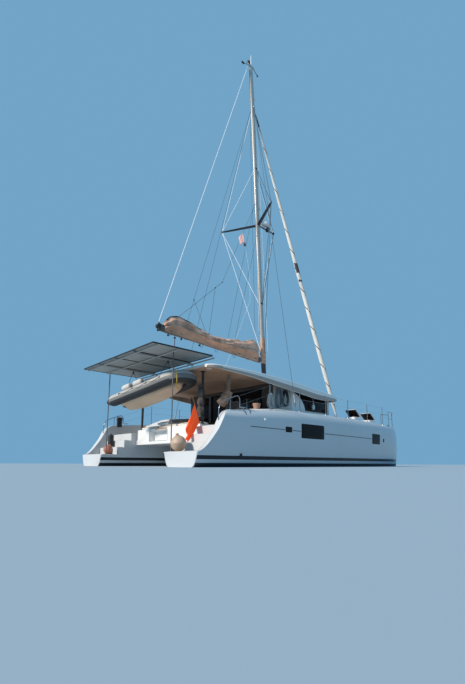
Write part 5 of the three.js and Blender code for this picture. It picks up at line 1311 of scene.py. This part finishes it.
piece("fall_blocks", [
    round_box((SLING_X - 0.03, y - 0.02, 3.40), (SLING_X + 0.03, y + 0.02, 3.49), 0.018)
    for y in (BEAM_Y, -BEAM_Y)], satin_black)


def make_cells():
    """Group: thin pale lines a pitch apart along X and Y of the object, over the cell colour."""
    group, given, out = new_group("cells", {
        "Colour": (0, 0, 0, 1), "Line": (0.5, 0.5, 0.5, 1), "Pitch": 0.18, "Width": 0.02}, ["Colour"])
    where = add_node(group, "ShaderNodeTexCoord").outputs["Object"]
    split = add_node(group, "ShaderNodeSeparateXYZ", Vector=where)
    near = []
    for axis in "XY":
        share = reckon(group, "FRACT", reckon(group, "DIVIDE", split.outputs[axis], given.outputs["Pitch"]))
        near.append(reckon(group, "LESS_THAN", share, given.outputs["Width"]))
    either = reckon(group, "MAXIMUM", *near)
    lined = mix_colours(group, either, given.outputs["Colour"], given.outputs["Line"])
    group.links.new(lined, out.inputs["Colour"])
    return group


solar_cells = finish("solar_cells", (0.01, 0.015, 0.035), rough=0.15, Coat_Weight=1, Coat_Roughness=0.05)
tree = solar_cells.node_tree
cells = add_node(tree, "ShaderNodeGroup", {"node_tree": make_cells()}, Colour=(0.008, 0.013, 0.032, 1),
                 Line=(0.20, 0.22, 0.25, 1))
tree.links.new(cells.outputs["Colour"], tree.nodes["Principled BSDF"].inputs["Base Color"])
solar_back = finish("solar_back", (0.46, 0.45, 0.42), (0.34, 0.33, 0.31), amount=0.6, rough=0.6, coarse=0.8)
solar_edge = finish("solar_edge", (0.035, 0.037, 0.042), rough=0.4, Metallic=0.5)
width = 2 * SOLAR_HALF / 4
length, breadth = SOLAR_X[1] - SOLAR_X[0], width - 0.006
frames, backs, faces = [], [], []
for i in range(4):
    low = -SOLAR_HALF + i * width
    middle = np.array([sum(SOLAR_X) / 2, low + width / 2])
    frames.append(rim(middle + rounded_outline(length, breadth, 0.01, 2),
                      [(0, 3.56), (0, 3.598), (0.002, 3.60),
                       (0.013, 3.60), (0.013, 3.572), (0.028, 3.572), (0.028, 3.56)]))
    inner = np.array([length / 2 - 0.0125, breadth / 2 - 0.0125])
    for parts, heights in ((backs, (3.5735, 3.582)), (faces, (3.5825, 3.597))):
        parts.append(round_box((*(middle - inner), heights[0]), (*(middle + inner), heights[1]), 0.001, 2))
    backs.append(round_box((-5.15, low + width / 2 - 0.06, 3.558),
                           (-5.03, low + width / 2 + 0.06, 3.575), 0.006))
piece("panel_frames", frames, solar_edge, replaces="solar_panels")
piece("panel_backs", backs, solar_back)
piece("panel_cells", faces, solar_cells)


# The dinghy: air tubes bent round the bow in one grey skin, light on top over a dark stripe, their
# lower half painted as shade in mid grey and near black; a V hull painted tan for the warm light of
# the low sun, with its keel line, floor, thwart and grab lines, a yellow strap at the bow, and the
# fenders stowed on it.
dinghy_light = finish("dinghy_light", (0.43, 0.43, 0.42), (0.31, 0.305, 0.29),
                      amount=0.5, rough=0.6, coarse=3, fine=200, bump=0.15)
dinghy_mid = finish("dinghy_mid", (0.17, 0.175, 0.175), rough=0.6, fine=200, bump=0.15)
dinghy_dark = finish("dinghy_dark", (0.030, 0.032, 0.036), rough=0.55, fine=200, bump=0.15)
# The dinghy hull's tan is painted warm light of the low sun.
dinghy_hull_paint = finish("dinghy_hull_paint", (0.84, 0.57, 0.37),
                           (0.62, 0.40, 0.26), amount=0.5, rough=0.35, coarse=2)
strap_yellow = rope_finish("strap_yellow", (0.85, 0.55, 0.04))
TUBE_R = 0.205
HALF_LINE = [(-1.75, 0.46, 0), (-1.60, 0.46, 0), (-1.42, 0.46, 0), (-1.0, 0.46, 0),
             (-0.6, 0.46, 0), (0, 0.46, 0), (0.6, 0.46, 0), (1.0, 0.46, 0.003), (1.28, 0.455, 0.006),
             (1.48, 0.42, 0.012), (1.62, 0.335, 0.02), (1.71, 0.20, 0.03), (1.74, 0, 0.035)]
mirrored = [(a, -b, c) for a, b, c in HALF_LINE[-2::-1]]
air_line = curve_through(HALF_LINE + mirrored, 6)
taper = np.clip((-1.41 - air_line[:, 0]) / 0.34, 0, 1)
air_radius = TUBE_R * (1 - 0.66 * taper ** 1.3)
points, faces = tube(air_line, air_radius, 36)
middle = points[np.array([f for f in faces if len(f) == 4])].mean(1)
nearest = np.argmin(np.linalg.norm(middle[:, None, :2] - air_line[None, :, :2], axis=2), 1)
level = (middle[:, 2] - air_line[nearest, 2]) / air_radius[nearest]
# Bands of the tubes by height: light grey on top, a dark stripe, then mid grey and near black below, the lower
# two painted shade.
shade = np.select([level > 0.24, level > 0.14, level > -0.42], [0, 1, 2], 3)
shade[air_line[nearest, 0] < -1.5] = 1
air_tubes = piece("dinghy_tubes", [(in_dinghy(points), faces)], dinghy_light,
                  replaces="tender_tubes", crease=60)
ends = np.ones(len(air_tubes.data.polygons) - len(shade), int)
repaint(air_tubes, np.concatenate([shade, ends]), dinghy_dark, dinghy_mid, dinghy_dark)


def dinghy_hull():
    """Sections of the V hull: keel, chine and the flat floor under the tubes, drawn in to the bow."""
    rows = np.array([[-1.15, -0.37, 0.40], [-0.45, -0.46, 0.40],
                     [0.6, -0.46, 0.37], [1.2, -0.38, 0.25], [1.48, -0.23, 0.09]])
    ahead = np.linspace(-1.15, 1.48, 40)
    keel, chine = through_rows(rows, ahead).T[:, :, None]
    across = np.array([[0, 0.04, 0.3, 0.55, 0.8, 0.96, 1, 1, 0.94]])
    deep = np.array([[1, 0.985, 0.84, 0.74, 0.65, 0.58, 0.52, 0.16, 0.13]])
    aside, up = chine * across, keel * deep
    aside = np.hstack([aside, -aside[:, :0:-1]])
    up = np.hstack([up, up[:, :0:-1]])
    return loft(in_dinghy(np.stack([np.broadcast_to(ahead[:, None], aside.shape), aside, up], -1)))


def dinghy_box(low, high, radius):
    """A box in the dinghy's own directions."""
    points, faces = round_box(low, high, radius)
    return in_dinghy(points), faces


def dinghy_spin(profile, foot, head, sides=24):
    """A turned form from one point in the dinghy towards another."""
    return spin(profile, in_dinghy(foot), in_dinghy(head) - in_dinghy(foot), sides)


keel_line = [(a, 0, u) for a, u in ((-1.1, -0.374), (-0.45, -0.462),
                                    (0.1, -0.466), (0.6, -0.462), (1.0, -0.42), (1.3, -0.34))]
piece("dinghy_hull", [dinghy_hull(), tube(in_dinghy(curve_through(keel_line, 5)), 0.010, 8)],
      dinghy_hull_paint, replaces="tender_hull")
piece("dinghy_floor", [dinghy_box((-1.1, -0.27, -0.055), (1.25, 0.27, -0.03), 0.01),
                       dinghy_box((-1.16, -0.30, -0.30), (-1.10, 0.30, 0.17), 0.02)], dinghy_mid)
piece("dinghy_thwart", [dinghy_box((-0.25, -0.30, 0.07), (0.02, 0.30, 0.10), 0.012)], alloy)
patches, grab = [], []
high = np.radians([22, 8, 22, 8, 22, 10, 22])
for side in (1, -1):
    line = np.stack([(-0.9, -0.55, -0.2, 0.15, 0.5, 0.85, 1.15),
                     side * (0.457 + (TUBE_R + 0.012) * np.cos(high)),
                     0.006 + (TUBE_R + 0.012) * np.sin(high)], -1)
    grab.append(tube(in_dinghy(curve_through(line, 5)), 0.006, 6))
    patches += [dinghy_spin([(0, 0), (0, 0.045), (0.012, 0.038), (0.018, 0.018), (0.018, 0)],
                            (x, side * (0.46 + TUBE_R * 0.87), 0.088), (x, side * 2, 0.7), 16)
                for x in (-0.9, -0.2, 0.5, 1.15)]
piece("dinghy_grab_lines", grab, dark_line)
piece("dinghy_patches", patches, dinghy_dark)
turn = np.radians(np.linspace(-95, 120, 26))
out = (TUBE_R + 0.006) * np.cos(turn)
band = np.stack([1.60 + 0.80 * out, 0.35 + 0.60 * out, 0.018 + (TUBE_R + 0.006) * np.sin(turn)], -1)
band = np.vstack([[(1.36, 0.02, -0.29), (1.42, 0.14, -0.27), (1.50, 0.26, -0.235)], band])
piece("dinghy_strap", [tube(in_dinghy(band), 0.013, 6)], strap_yellow)
white_cloth = finish("white_cloth", (0.56, 0.56, 0.55), (0.42, 0.42, 0.41), rough=0.7, fine=260, bump=0.25)
stowed = [(0, 0), (0, 0.03), (0.03, 0.08), (0.09, 0.10), (0.36, 0.10), (0.42, 0.08), (0.45, 0.03), (0.45, 0)]
piece("dinghy_fenders", [dinghy_spin(stowed, foot, head)
                         for foot, head in (((-0.95, 0.42, 0.316), (-0.5, 0.43, 0.318)),
                                            ((-0.36, 0.42, 0.316), (0.1, 0.40, 0.318)))], white_cloth)


# The flagstaff on its socket with a plain red ensign hanging limp, a small flag hoisted to the
# port spreader, a black case on the stern rail, and the fenders stowed on the stern platforms:
# two round ones and a long black one.
varnish = finish("varnish", (0.32, 0.16, 0.07), (0.20, 0.09, 0.04),
                 amount=0.5, rough=0.25, coarse=9, Coat_Weight=0.6)
STAFF_FOOT, STAFF_HEAD = np.array([-4.98, -1.935, 1.3884]), np.array([-5.56, -2.30, 2.13])
staff = np.linalg.norm(STAFF_HEAD - STAFF_FOOT)
pole = [(0, 0), (0, 0.0125), (staff * 0.6, 0.012), (staff - 0.03, 0.010), (staff - 0.028, 0.016),
        (staff - 0.01, 0.016), (staff, 0.008), (staff, 0)]
piece("flag_pole", [spin(pole, STAFF_FOOT, STAFF_HEAD - STAFF_FOOT, 20)],
      varnish, replaces="flagstaff")
# The flag's cloth glows a little in orange-red: painted light, though it is no lamp.
flag_red_glowing = finish("flag_red_glowing", (1.0, 0.09, 0.006), (0.85, 0.05, 0.004),
                  amount=0.4, rough=0.8, coarse=4, fine=500,
                  bump=0.15, Sheen_Weight=0.2, Emission_Color=(1.0, 0.12, 0.01, 1), Emission_Strength=0.3)


def flag_surface():
    """The hoist lies along the staff; the fly hangs from it to two low corners, with folds that
    start at the head of the hoist and deepen towards the fly."""
    hoist, fly = np.meshgrid(np.linspace(0, 1, 40), np.linspace(0, 1, 60))
    top, low = (STAFF_HEAD + share * (STAFF_FOOT - STAFF_HEAD) + (-0.012, -0.012, 0)
                for share in (0.27, 0.95))
    corners = np.array([top, low, (-5.80, -2.32, 1.24), (-5.70, -2.24, 0.74)])
    h, f = hoist[..., None], fly[..., None]
    flat = ((1 - h) * (1 - f) * corners[0] + h * (1 - f) * corners[1]
            + (1 - h) * f * corners[2] + h * f * corners[3])
    wave = (np.sin(2 * np.pi * (1.9 * hoist - 0.35 * fly) + 0.6)
            + 0.4 * np.sin(2 * np.pi * (3.3 * hoist + 0.5 * fly) + 1.9))
    lift = 0.040 * wave * np.minimum(1, fly * 2.2) * (0.5 + 0.5 * fly)
    normal = np.cross(corners[1] - corners[0], corners[3] - corners[0])
    normal /= np.linalg.norm(normal)
    sag = -0.03 * np.sin(np.pi * hoist) * fly
    return flat + lift[..., None] * normal + sag[..., None] * np.array([0, 0, 1])


def bunting(name, cloth, material, thick):
    """A piece of cloth from a grid of points, with its area: each cell's two edges, crossed."""
    flag = piece(name, [(cloth.reshape(-1, 3), grid_faces(*cloth.shape[:2], around=False))],
                 material, crease=80)
    flag.modifiers.new("thickness", "SOLIDIFY").thickness = thick
    cells = np.cross(np.diff(cloth, axis=0)[:, :-1], np.diff(cloth, axis=1)[:-1])
    return flag, float(np.linalg.norm(cells, axis=2).sum())


flag, area = bunting("plain_flag", flag_surface(), flag_red_glowing, 0.0015)


def hoop(centre, axis, radius, thick, sides=12, turns=56):
    """A ring of round bar about an axis."""
    angle = np.linspace(0, 2 * np.pi, sides + 1)
    points, _ = spin(np.column_stack([thick * np.cos(angle), radius + thick * np.sin(angle)]),
                     centre, axis, turns)
    return points, grid_faces(sides + 1, turns)


def signal_surface():
    """The hoist lies along the halyard; the fly runs out from it, sags, and waves a little."""
    top, low = np.array([-0.373, 0.770, 11.10]), np.array([-0.305, 0.753, 10.72])
    h, f = (grid[..., None] for grid in np.meshgrid(np.linspace(0, 1, 16), np.linspace(0, 1, 24)))
    flat = top + h * (low - top) + f * np.array([-0.165, 0.150, -0.08]) - f * f * np.array([0, 0, 0.10])
    return flat + 0.018 * np.sin(7 * f + 2 * h) * f * np.array([0.68, 0.73, 0])


signal_cloth = finish("signal_cloth", (0.86, 0.40, 0.36), (0.92, 0.70, 0.66),
                      amount=0.6, rough=0.8, coarse=6)
signal, area = bunting("signal_flag", signal_surface(), signal_cloth, 0.0012)
piece("signal_toggle", [spin([(0, 0), (0, 0.02), (0.02, 0.05), (0.12, 0.06), (0.17, 0.04), (0.18, 0)],
                             (-0.29, 0.75, 10.48), (-0.03, 0.007, 0.22), 16)], satin_black)
piece("rail_case", [round_box((-5.09, 3.49, 1.60), (-4.87, 3.59, 2.00), 0.03),
                    round_box((-5.10, 3.48, 1.86), (-4.86, 3.60, 2.015), 0.03),
                    *[hoop((x, 3.607, 2.045), (1, 0, 0), 0.048, 0.006, 8, 24) for x in (-4.93, -5.03)]],
      satin_black)


def round_fender(place, radius, lean):
    """A ball fender on the platform: rope eye on a ribbed neck, and a moulded seam round its
    middle."""
    axis = np.array(lean, float) / np.linalg.norm(lean)
    angle = np.radians(np.array([180, 165, 150, 130, 112, 96, 92, 88, 84, 68, 52, 38, 28, 22]))
    swell = np.where(np.abs(angle - np.pi / 2) < 0.05, 1.012, 1)
    ball = np.column_stack([1 + np.cos(angle), swell * np.sin(angle)])
    neck = [(2.0, 0.30), (2.05, 0.20), (2.12, 0.24), (2.18, 0.17), (2.25, 0.20), (2.30, 0)]
    middle = np.array([*place, PLATFORM_Z + 0.0095 + radius])
    return spin(radius * np.vstack([[(0, 0)], ball[1:], neck]), middle - radius * axis, axis, 40)


ball_beige = finish("ball_beige", (0.52, 0.38, 0.28), (0.34, 0.24, 0.18),
                    amount=0.7, rough=0.5, coarse=4, Coat_Weight=0.15)
ball_orange = finish("ball_orange", (0.42, 0.15, 0.10), (0.26, 0.10, 0.07),
                     amount=0.5, rough=0.45, coarse=5, Coat_Weight=0.15)
piece("beige_ball_fender", [round_fender((-6.14, -2.42), 0.235, (-0.1, 0.15, 1))], ball_beige)
piece("orange_ball_fender", [round_fender((-5.88, 2.60), 0.18, (0.5, 0.3, 1))], ball_orange)
long_form = [(0, 0), (0, 0.03), (0.03, 0.035), (0.05, 0.08), (0.09, 0.108), (0.44, 0.108), (0.48, 0.08),
             (0.50, 0.035), (0.54, 0.03), (0.54, 0)]
piece("long_fender", [spin(long_form, (-5.63, 2.93, 0.7225), (0.02, 0, 8.2775), 32)], satin_black)


# The helm at the starboard side of the cockpit: console with its instruments and spoked wheel;
# the table with its leg; and the blue frame and teak band on the aft bench's outer face.
teak = finish("teak", (0.42, 0.23, 0.11), (0.28, 0.14, 0.06),
              amount=0.6, rough=0.45, coarse=6, fine=80, bump=0.2)
screen = finish("screen", (0.012, 0.016, 0.022), rough=0.12)
leather = finish("leather", (0.05, 0.048, 0.046), rough=0.55, fine=180, bump=0.3)
CONSOLE_FACE, CONSOLE_LEAN = np.array([-2.319, 0, 2.427]), 34.4
helm_dark = finish("helm_dark", (0.045, 0.040, 0.038), (0.08, 0.07, 0.065), rough=0.35, fine=40)
eased("helm_console", "console_moulding", helm_dark, 0.02)
board, *screens = [tilted(part, CONSOLE_LEAN, CONSOLE_FACE) for part in (
    round_box((-2.336, -1.87, 2.335), (-2.316, -1.25, 2.52), 0.008),
    *[round_box((-2.342, low, 2.36), (-2.330, high, 2.50), 0.005)
      for low, high in ((-1.84, -1.60), (-1.57, -1.43), (-1.40, -1.28))])]
piece("instrument_board", [board], trim_black)
piece("instrument_screens", screens, screen)
piece("engine_levers", [round_box((-2.40, -1.262, 2.0), (-2.36, -1.232, 2.12), 0.012),
                        tube([(-2.385, -1.247, 2.11), (-2.42, -1.247, 2.20), (-2.43, -1.247, 2.24)],
                             (0.008, 0.008, 0.014), 12)], stainless)
WHEEL_AT, WHEEL_R = np.array([-2.47, -1.56, 2.15]), 0.35
spokes = []
for angle in np.radians(np.arange(5) * 72 + 90):
    out = np.array([0, math.cos(angle), math.sin(angle)])
    spokes.append(tube([WHEEL_AT + (0.012, 0, 0) + 0.03 * out, WHEEL_AT + 0.2 * out,
                        WHEEL_AT + (WHEEL_R - 0.004) * out], (0.011, 0.0085, 0.0085), 10))
hub = spin([(0, 0), (0, 0.030), (0.012, 0.045), (0.05, 0.045), (0.06, 0.032), (0.119, 0.032), (0.119, 0)],
           WHEEL_AT - (0.03, 0, 0), (1, 0, 0), 32)
piece("wheel_spokes", [hub, *spokes], stainless, body="wheel", replaces="helm_wheel")
piece("wheel_rim", [hoop(WHEEL_AT, (1, 0, 0), WHEEL_R, 0.016)], leather, body="wheel")
PLANK = 0.1125
planks = [round_box((-3.7, low, 1.692), (-2.6, low + PLANK - 0.003, 1.73), 0.005)
          for low in 0.25 + PLANK * np.arange(8)]
piece("table_top", [*planks, round_box((-3.68, 0.27, 1.6905), (-2.62, 1.13, 1.70), 0.003)],
      teak, replaces="cockpit_table")
leg = [(0, 0), (0, 0.12), (0.012, 0.12), (0.02, 0.07), (0.05, 0.06),
       (0.64, 0.06), (0.675, 0.11), (0.69, 0.11), (0.69, 0)]
piece("table_leg", [spin(leg, (-3.15, 0.7, 1.0005), sides=32)], stainless)
recess = [round_box((-5.004, *low), (-4.99, *high), 0.004, 2) for low, high in (
    ((-0.12, 0.91), (1.10, 0.932)), ((-0.12, 1.288), (1.10, 1.31)), ((-0.12, 0.91), (-0.098, 1.31)),
    ((1.078, 0.91), (1.10, 1.31)))]
recess_blue = finish("recess_blue", (0.25, 0.34, 0.40), rough=0.4)
piece("recess_frame", recess, recess_blue)
piece("bench_band", [round_box((-5.006, -0.09, 1.325), (-4.99, 0.72, 1.376), 0.004)], teak)


# Cushions: each starts as a slack form, is blown up as cloth and gets its piping. Pale ones lie
# along the aft bench, with a bolster, and along the side bench; dark ones on the helm seat's
# moulded base and against its back.
cushion_cloth = finish("cushion_cloth", (0.72, 0.70, 0.66), (0.60, 0.58, 0.54), amount=0.5,
                       rough=0.85, coarse=3.5, fine=380, bump=0.25, depth=0.001, Sheen_Weight=0.2)
seat_cloth = finish("seat_cloth", (0.075, 0.062, 0.055), (0.11, 0.09, 0.08), rough=0.6, fine=260, bump=0.2)
piping_cloth = finish("piping_cloth", (0.38, 0.37, 0.35), rough=0.8, fine=380, bump=0.2)
# The slack of a cushion before it is filled, how far its cloth may move, and its remesh, cloth
# and filling
SLACK, CAP, VOXEL = 0.016, 0.026, 0.014
PRESSURE, FRAMES, FILL = 0.8, 20, 0.7


def points_of(mesh):
    """The places of a mesh's points."""
    points = np.empty(3 * len(mesh.vertices))
    mesh.vertices.foreach_get("co", points)
    return points.reshape(-1, 3)


def settle(made, modifier):
    """Makes what the modifier gives the piece's own mesh, and returns its points."""
    mesh = bpy.data.meshes.new_from_object(made.evaluated_get(bpy.context.evaluated_depsgraph_get()))
    made.modifiers.remove(modifier)
    made.data = mesh
    return points_of(mesh)


def blow_up(made):
    """Remeshes the piece, runs cloth with pressure in it for a few frames, and keeps its points
    within the cap of where they started."""
    remesh = made.modifiers.new("remesh", "REMESH")
    remesh.mode = "VOXEL"
    remesh.voxel_size = VOXEL
    before = settle(made, remesh)
    cloth = made.modifiers.new("cloth", "CLOTH")
    cloth.settings.use_pressure = True
    cloth.settings.uniform_pressure_force = PRESSURE
    cloth.settings.effector_weights.gravity = 0
    cloth.settings.quality = 4
    for moment in range(1, FRAMES + 1):
        bpy.context.scene.frame_set(moment)
    step = settle(made, cloth) - before
    size = np.linalg.norm(step, axis=1, keepdims=True)
    after = before + step * np.minimum(1, CAP / np.maximum(size, 1e-9))
    made.data.vertices.foreach_set("co", after.ravel())
    bpy.context.scene.frame_set(1)


def cushion(name, low, high, replaces=None, cloth=cushion_cloth):
    """A box cushion between two corners, with piping round its upper or front edge. The welt
    takes the mean of how far the cloth near it is drawn in, over nine of its points."""
    low, high = np.array(low, float), np.array(high, float)
    inset = SLACK
    made = piece(name, [round_box(low + inset, high - inset, 0.03, 5)], cloth,
                 replaces=replaces, crease=70)
    blow_up(made)
    made.data.polygons.foreach_set("use_smooth", np.ones(len(made.data.polygons), bool))
    if not made.data.materials:
        made.data.materials.append(cloth)
    points = np.clip(points_of(made.data), low - (0.012, 0.012, 0), high + (0.012, 0.012, 0.022))
    made.data.vertices.foreach_set("co", points.ravel())
    centre, size = (low + high) / 2, high - low
    thin = int(np.argmin(size))
    flat = [axis for axis in range(3) if axis != thin]
    level = centre[thin] + (0.28 if thin == 2 else -0.28) * size[thin]
    outline = rounded_outline(size[flat[0]], size[flat[1]], 0.05, 4)
    ahead, share = np.roll(outline, -1, 0), np.linspace(0, 1, 6, endpoint=False)[None, :, None]
    outline = (outline[:, None] + share * (ahead - outline)[:, None]).reshape(-1, 2)
    near = points[np.abs(points[:, thin] - level) < max(0.012, 0.2 * size[thin])]
    target = centre[flat] + outline
    gap = np.linalg.norm(near[None, :, flat] - target[:, None], axis=2)
    drawn_in = near[np.argmin(gap, 1)][:, flat] - target
    drawn_in = sum(np.roll(drawn_in, shift, 0) for shift in range(-4, 5)) / 9
    welt = np.insert(target + drawn_in, thin, level, axis=1)
    piece(f"{name}_piping", [tube(np.vstack([welt, welt[:2]]), 0.006, 8)], piping_cloth)
    finer = made.modifiers.new("finer", "SUBSURF")
    finer.levels = finer.render_levels = 1


SEAT_Z = (1.3805, 1.472)
for i in range(3):
    low_y = -1.78 + i * 1.19
    cushion(f"bench_cushion_{i + 1}", (-4.97, low_y, SEAT_Z[0]), (-4.46, low_y + 1.18, SEAT_Z[1]),
            replaces="cushion_aft" if i == 0 else None)
for i in range(2):
    low_x = -3.83 + i * 0.81
    cushion(f"side_cushion_{i + 1}", (low_x, 1.37, SEAT_Z[0]), (low_x + 0.80, 2.02, SEAT_Z[1]),
            replaces="cushion_side" if i == 0 else None)
cushion("bench_bolster", (-4.96, -0.05, 1.485), (-4.62, 0.68, 1.60))
piece("seat_base", [round_box((-3.2, -1.89, 1.4505), (-2.93, -1.23, 1.885), 0.03)],
      helm_dark)
cushion("seat_cushion", (-3.22, -1.92, 1.89), (-2.86, -1.20, 1.985), replaces="helm_seat", cloth=seat_cloth)
cushion("seat_back", (-3.245, -1.90, 2.0), (-3.165, -1.22, 2.33), cloth=seat_cloth)


# At the sides of the cockpit and the house: white fins and corner posts, rolled covers strapped
# under the roof, a pot on deck, ropes hung in coils, a float on its lines, and a mooring line
# looped over the bulwark.
FIN = np.array([(-0.97, 2.06), (-0.97, 2.905), (-0.87, 2.865),
                (-0.57, 2.745), (-0.335, 2.565), (-0.195, 2.38), (-0.135, 2.18), (-0.135, 2.06)])
middle = FIN.mean(0)
for word, side in SIDES:
    rings = []
    for inset, out in ((0, 2.4745), (0, 2.480), (0.004, 2.484), (0.12, 2.484)):
        shape = middle + (FIN - middle) * (1 - inset / 0.4)
        rings.append(np.column_stack([shape[:, 0], np.full(len(shape), side * out), shape[:, 1]]))
    piece(f"side_fin_{word}", [loft(rings)], white_trim, crease=25)
    post_y, wide = side * 2.43, 0.058 if side > 0 else 0.03
    piece(f"corner_post_{word}",
          [round_box((1.40, post_y - 0.03, 2.06), (1.49, post_y + wide, 2.945), 0.012)], white_trim)


def rolled(foot, head, radius, straps, seed):
    """A cloth roll between two points: its girth swells between the straps and is drawn in
    under them, with folds that wander round it."""
    foot, head = np.array(foot, float), np.array(head, float)
    share = np.linspace(0, 1, 60)[:, None]
    turn = circle(28)[None]
    girth = radius * np.ones_like(share)
    for at in straps:
        girth = girth * (1 - 0.28 * np.exp(-((share - at) / 0.045) ** 2))
    girth = girth * np.clip(np.minimum(share, 1 - share) / 0.03, 0.35, 1) ** 0.5
    fold = 1 + 0.09 * np.sin(5 * turn + 7 * share + seed) + 0.06 * np.sin(3 * turn - 15 * share + 2 * seed)
    axis = (head - foot) / np.linalg.norm(head - foot)
    across = np.cross(axis, (1, 0, 0))
    across /= np.linalg.norm(across)
    ring = np.cos(turn)[..., None] * across + np.sin(turn)[..., None] * np.cross(axis, across)
    line = foot + share * (head - foot)
    return loft(line[:, None] + (girth * fold)[..., None] * ring)


tan_cloth = finish("tan_cloth", (0.34, 0.22, 0.15), (0.20, 0.12, 0.085),
                   amount=0.7, rough=0.85, coarse=5, fine=380, bump=0.3)
piece("rolled_cover", [rolled((-4.99, -1.98, 1.50), (-4.97, -1.96, 2.66),
                              0.115, (0.12, 0.38, 0.64, 0.9), 1.0)], dark_canvas)
piece("rolled_curtain", [rolled((-4.22, -2.44, 2.30), (-4.16, -2.44, 3.05), 0.065, (0.1, 0.5, 0.9), 2.2)],
      tan_cloth, crease=80)
piece("curtain_bundle", [rolled((-4.54, -2.47, 2.02), (-4.18, -2.44, 2.42), 0.15, (0.64,), 3.1)],
      tan_cloth, crease=80)
piece("cover_straps", [hoop((-4.975, -1.965, z), (0, 0, 1), 0.092, 0.010, 8, 28)
                       for z in (1.64, 1.94, 2.24, 2.54)], trim_black)
clay = finish("clay", (0.46, 0.26, 0.18), (0.32, 0.18, 0.12),
              amount=0.6, rough=0.8, coarse=8, fine=90, bump=0.2)
pot = [(0, 0), (0, 0.09), (0.02, 0.10), (0.14, 0.125), (0.17, 0.14),
       (0.19, 0.14), (0.19, 0.115), (0.06, 0.09), (0.06, 0)]
pot_z = float(deck_height(-3.38, 0.07))
piece("deck_pot", [spin(pot, (-3.38, -2.95, pot_z - 0.01), sides=28)], clay)


def hank(name, hook, drop, width, turns, material, thick=0.016):
    """A rope wound in long turns side by side and hung on a hook: each turn is an oval whose top
    is the hook's, and stands a rope's thickness off the last. Its end is wrapped round its neck."""
    angle = np.linspace(0, 2 * np.pi * turns, 28 * turns + 1)
    pitch = 1.12 * thick
    sway = 0.012 * np.sin(angle * 0.37 + 1.3) * (1 - np.cos(angle)) / 2
    narrow = 0.45 + 0.55 * (1 - np.cos(angle)) / 2
    x = hook[0] + width / 2 * np.sin(angle) * narrow + sway
    z = hook[2] - drop / 2 * (1 - np.cos(angle)) * (1 + 0.04 * np.sin(angle / 5.3))
    y = hook[1] - pitch * angle / (2 * np.pi)
    path = np.stack([x, y, z], -1)
    made = piece(name, [tube(path, thick / 2, 8)], material, crease=60)
    wound, low = np.linspace(0, 4.6 * np.pi, 70), 1 - 0.2 / drop
    neck = width / 2 * math.sqrt(1 - low ** 2) * (0.45 + 0.275 * (1 - low)) + thick
    wrap = np.stack([hook[0] + neck * np.cos(wound),
                     hook[1] + (np.sin(wound) - 1) * pitch * turns / 2 + thick * np.sin(wound),
                     hook[2] - 0.05 - 0.17 * thick * wound], -1)
    knot = piece(f"{name}_tie", [tube(wrap, thick / 2, 8)], material, crease=60)


grey_line = rope_finish("grey_line", (0.24, 0.28, 0.32), (0.15, 0.18, 0.21), rough=0.8)
hank("white_rope", (-2.27, -2.50, 2.62), drop=0.52, width=0.30, turns=8, material=white_line)
hank("grey_rope", (-1.80, -2.50, 2.86), drop=0.70, width=0.42, turns=9, material=grey_line)
hank("dark_rope", (-1.42, -2.50, 2.84), drop=0.60, width=0.40, turns=7, material=dark_line)
piece("rope_hooks", [*[tube([(x, -2.47, z), (x, -2.49, z + 0.01), (x, -2.62, z + 0.012),
                             (x, -2.66, z + 0.03)], 0.006, 8) for x, z in ((-1.80, 2.845), (-1.42, 2.825))],
                     tube([(-2.27, -2.52, 2.99), (-2.27, -2.52, 2.70),
                           (-2.27, -2.53, 2.60), (-2.27, -2.60, 2.608)], 0.006, 8)], stainless)
float_white = finish("float_white", (0.86, 0.86, 0.84), rough=0.35)
buoy = [(0, 0), (0, 0.03), (0.03, 0.055), (0.13, 0.06), (0.20, 0.05), (0.23, 0.02), (0.26, 0.02), (0.26, 0)]
piece("hung_float", [spin(buoy, (0.30, -2.56, 2.24))], float_white)
piece("float_lines", [tube([(0.30, -2.56, 2.49), (x, -2.60, 2.80)], 0.005, 6) for x in (0.16, 0.38)],
      white_line)
LOOP = [(-4.78, -3.585, 1.735), (-4.76, -3.64, 1.745), (-4.74, -3.695, 1.70), (-4.70, -3.76, 1.60),
        (-4.66, -3.79, 1.50), (-4.60, -3.80, 1.455), (-4.54, -3.79, 1.50), (-4.50, -3.76, 1.60),
        (-4.46, -3.70, 1.70), (-4.46, -3.64, 1.75), (-4.52, -3.585, 1.74)]
loop_path = curve_through(LOOP, 5)
loop = piece("mooring_line", [tube(loop_path, 0.009, 10)], dark_line, crease=60)
loop_turns = piece("mooring_turns", [hoop((x, -3.583, 1.735), (1, 0, 0), 0.022, 0.009, 8, 24)
                                     for x in (-4.52, -4.78)], dark_line)
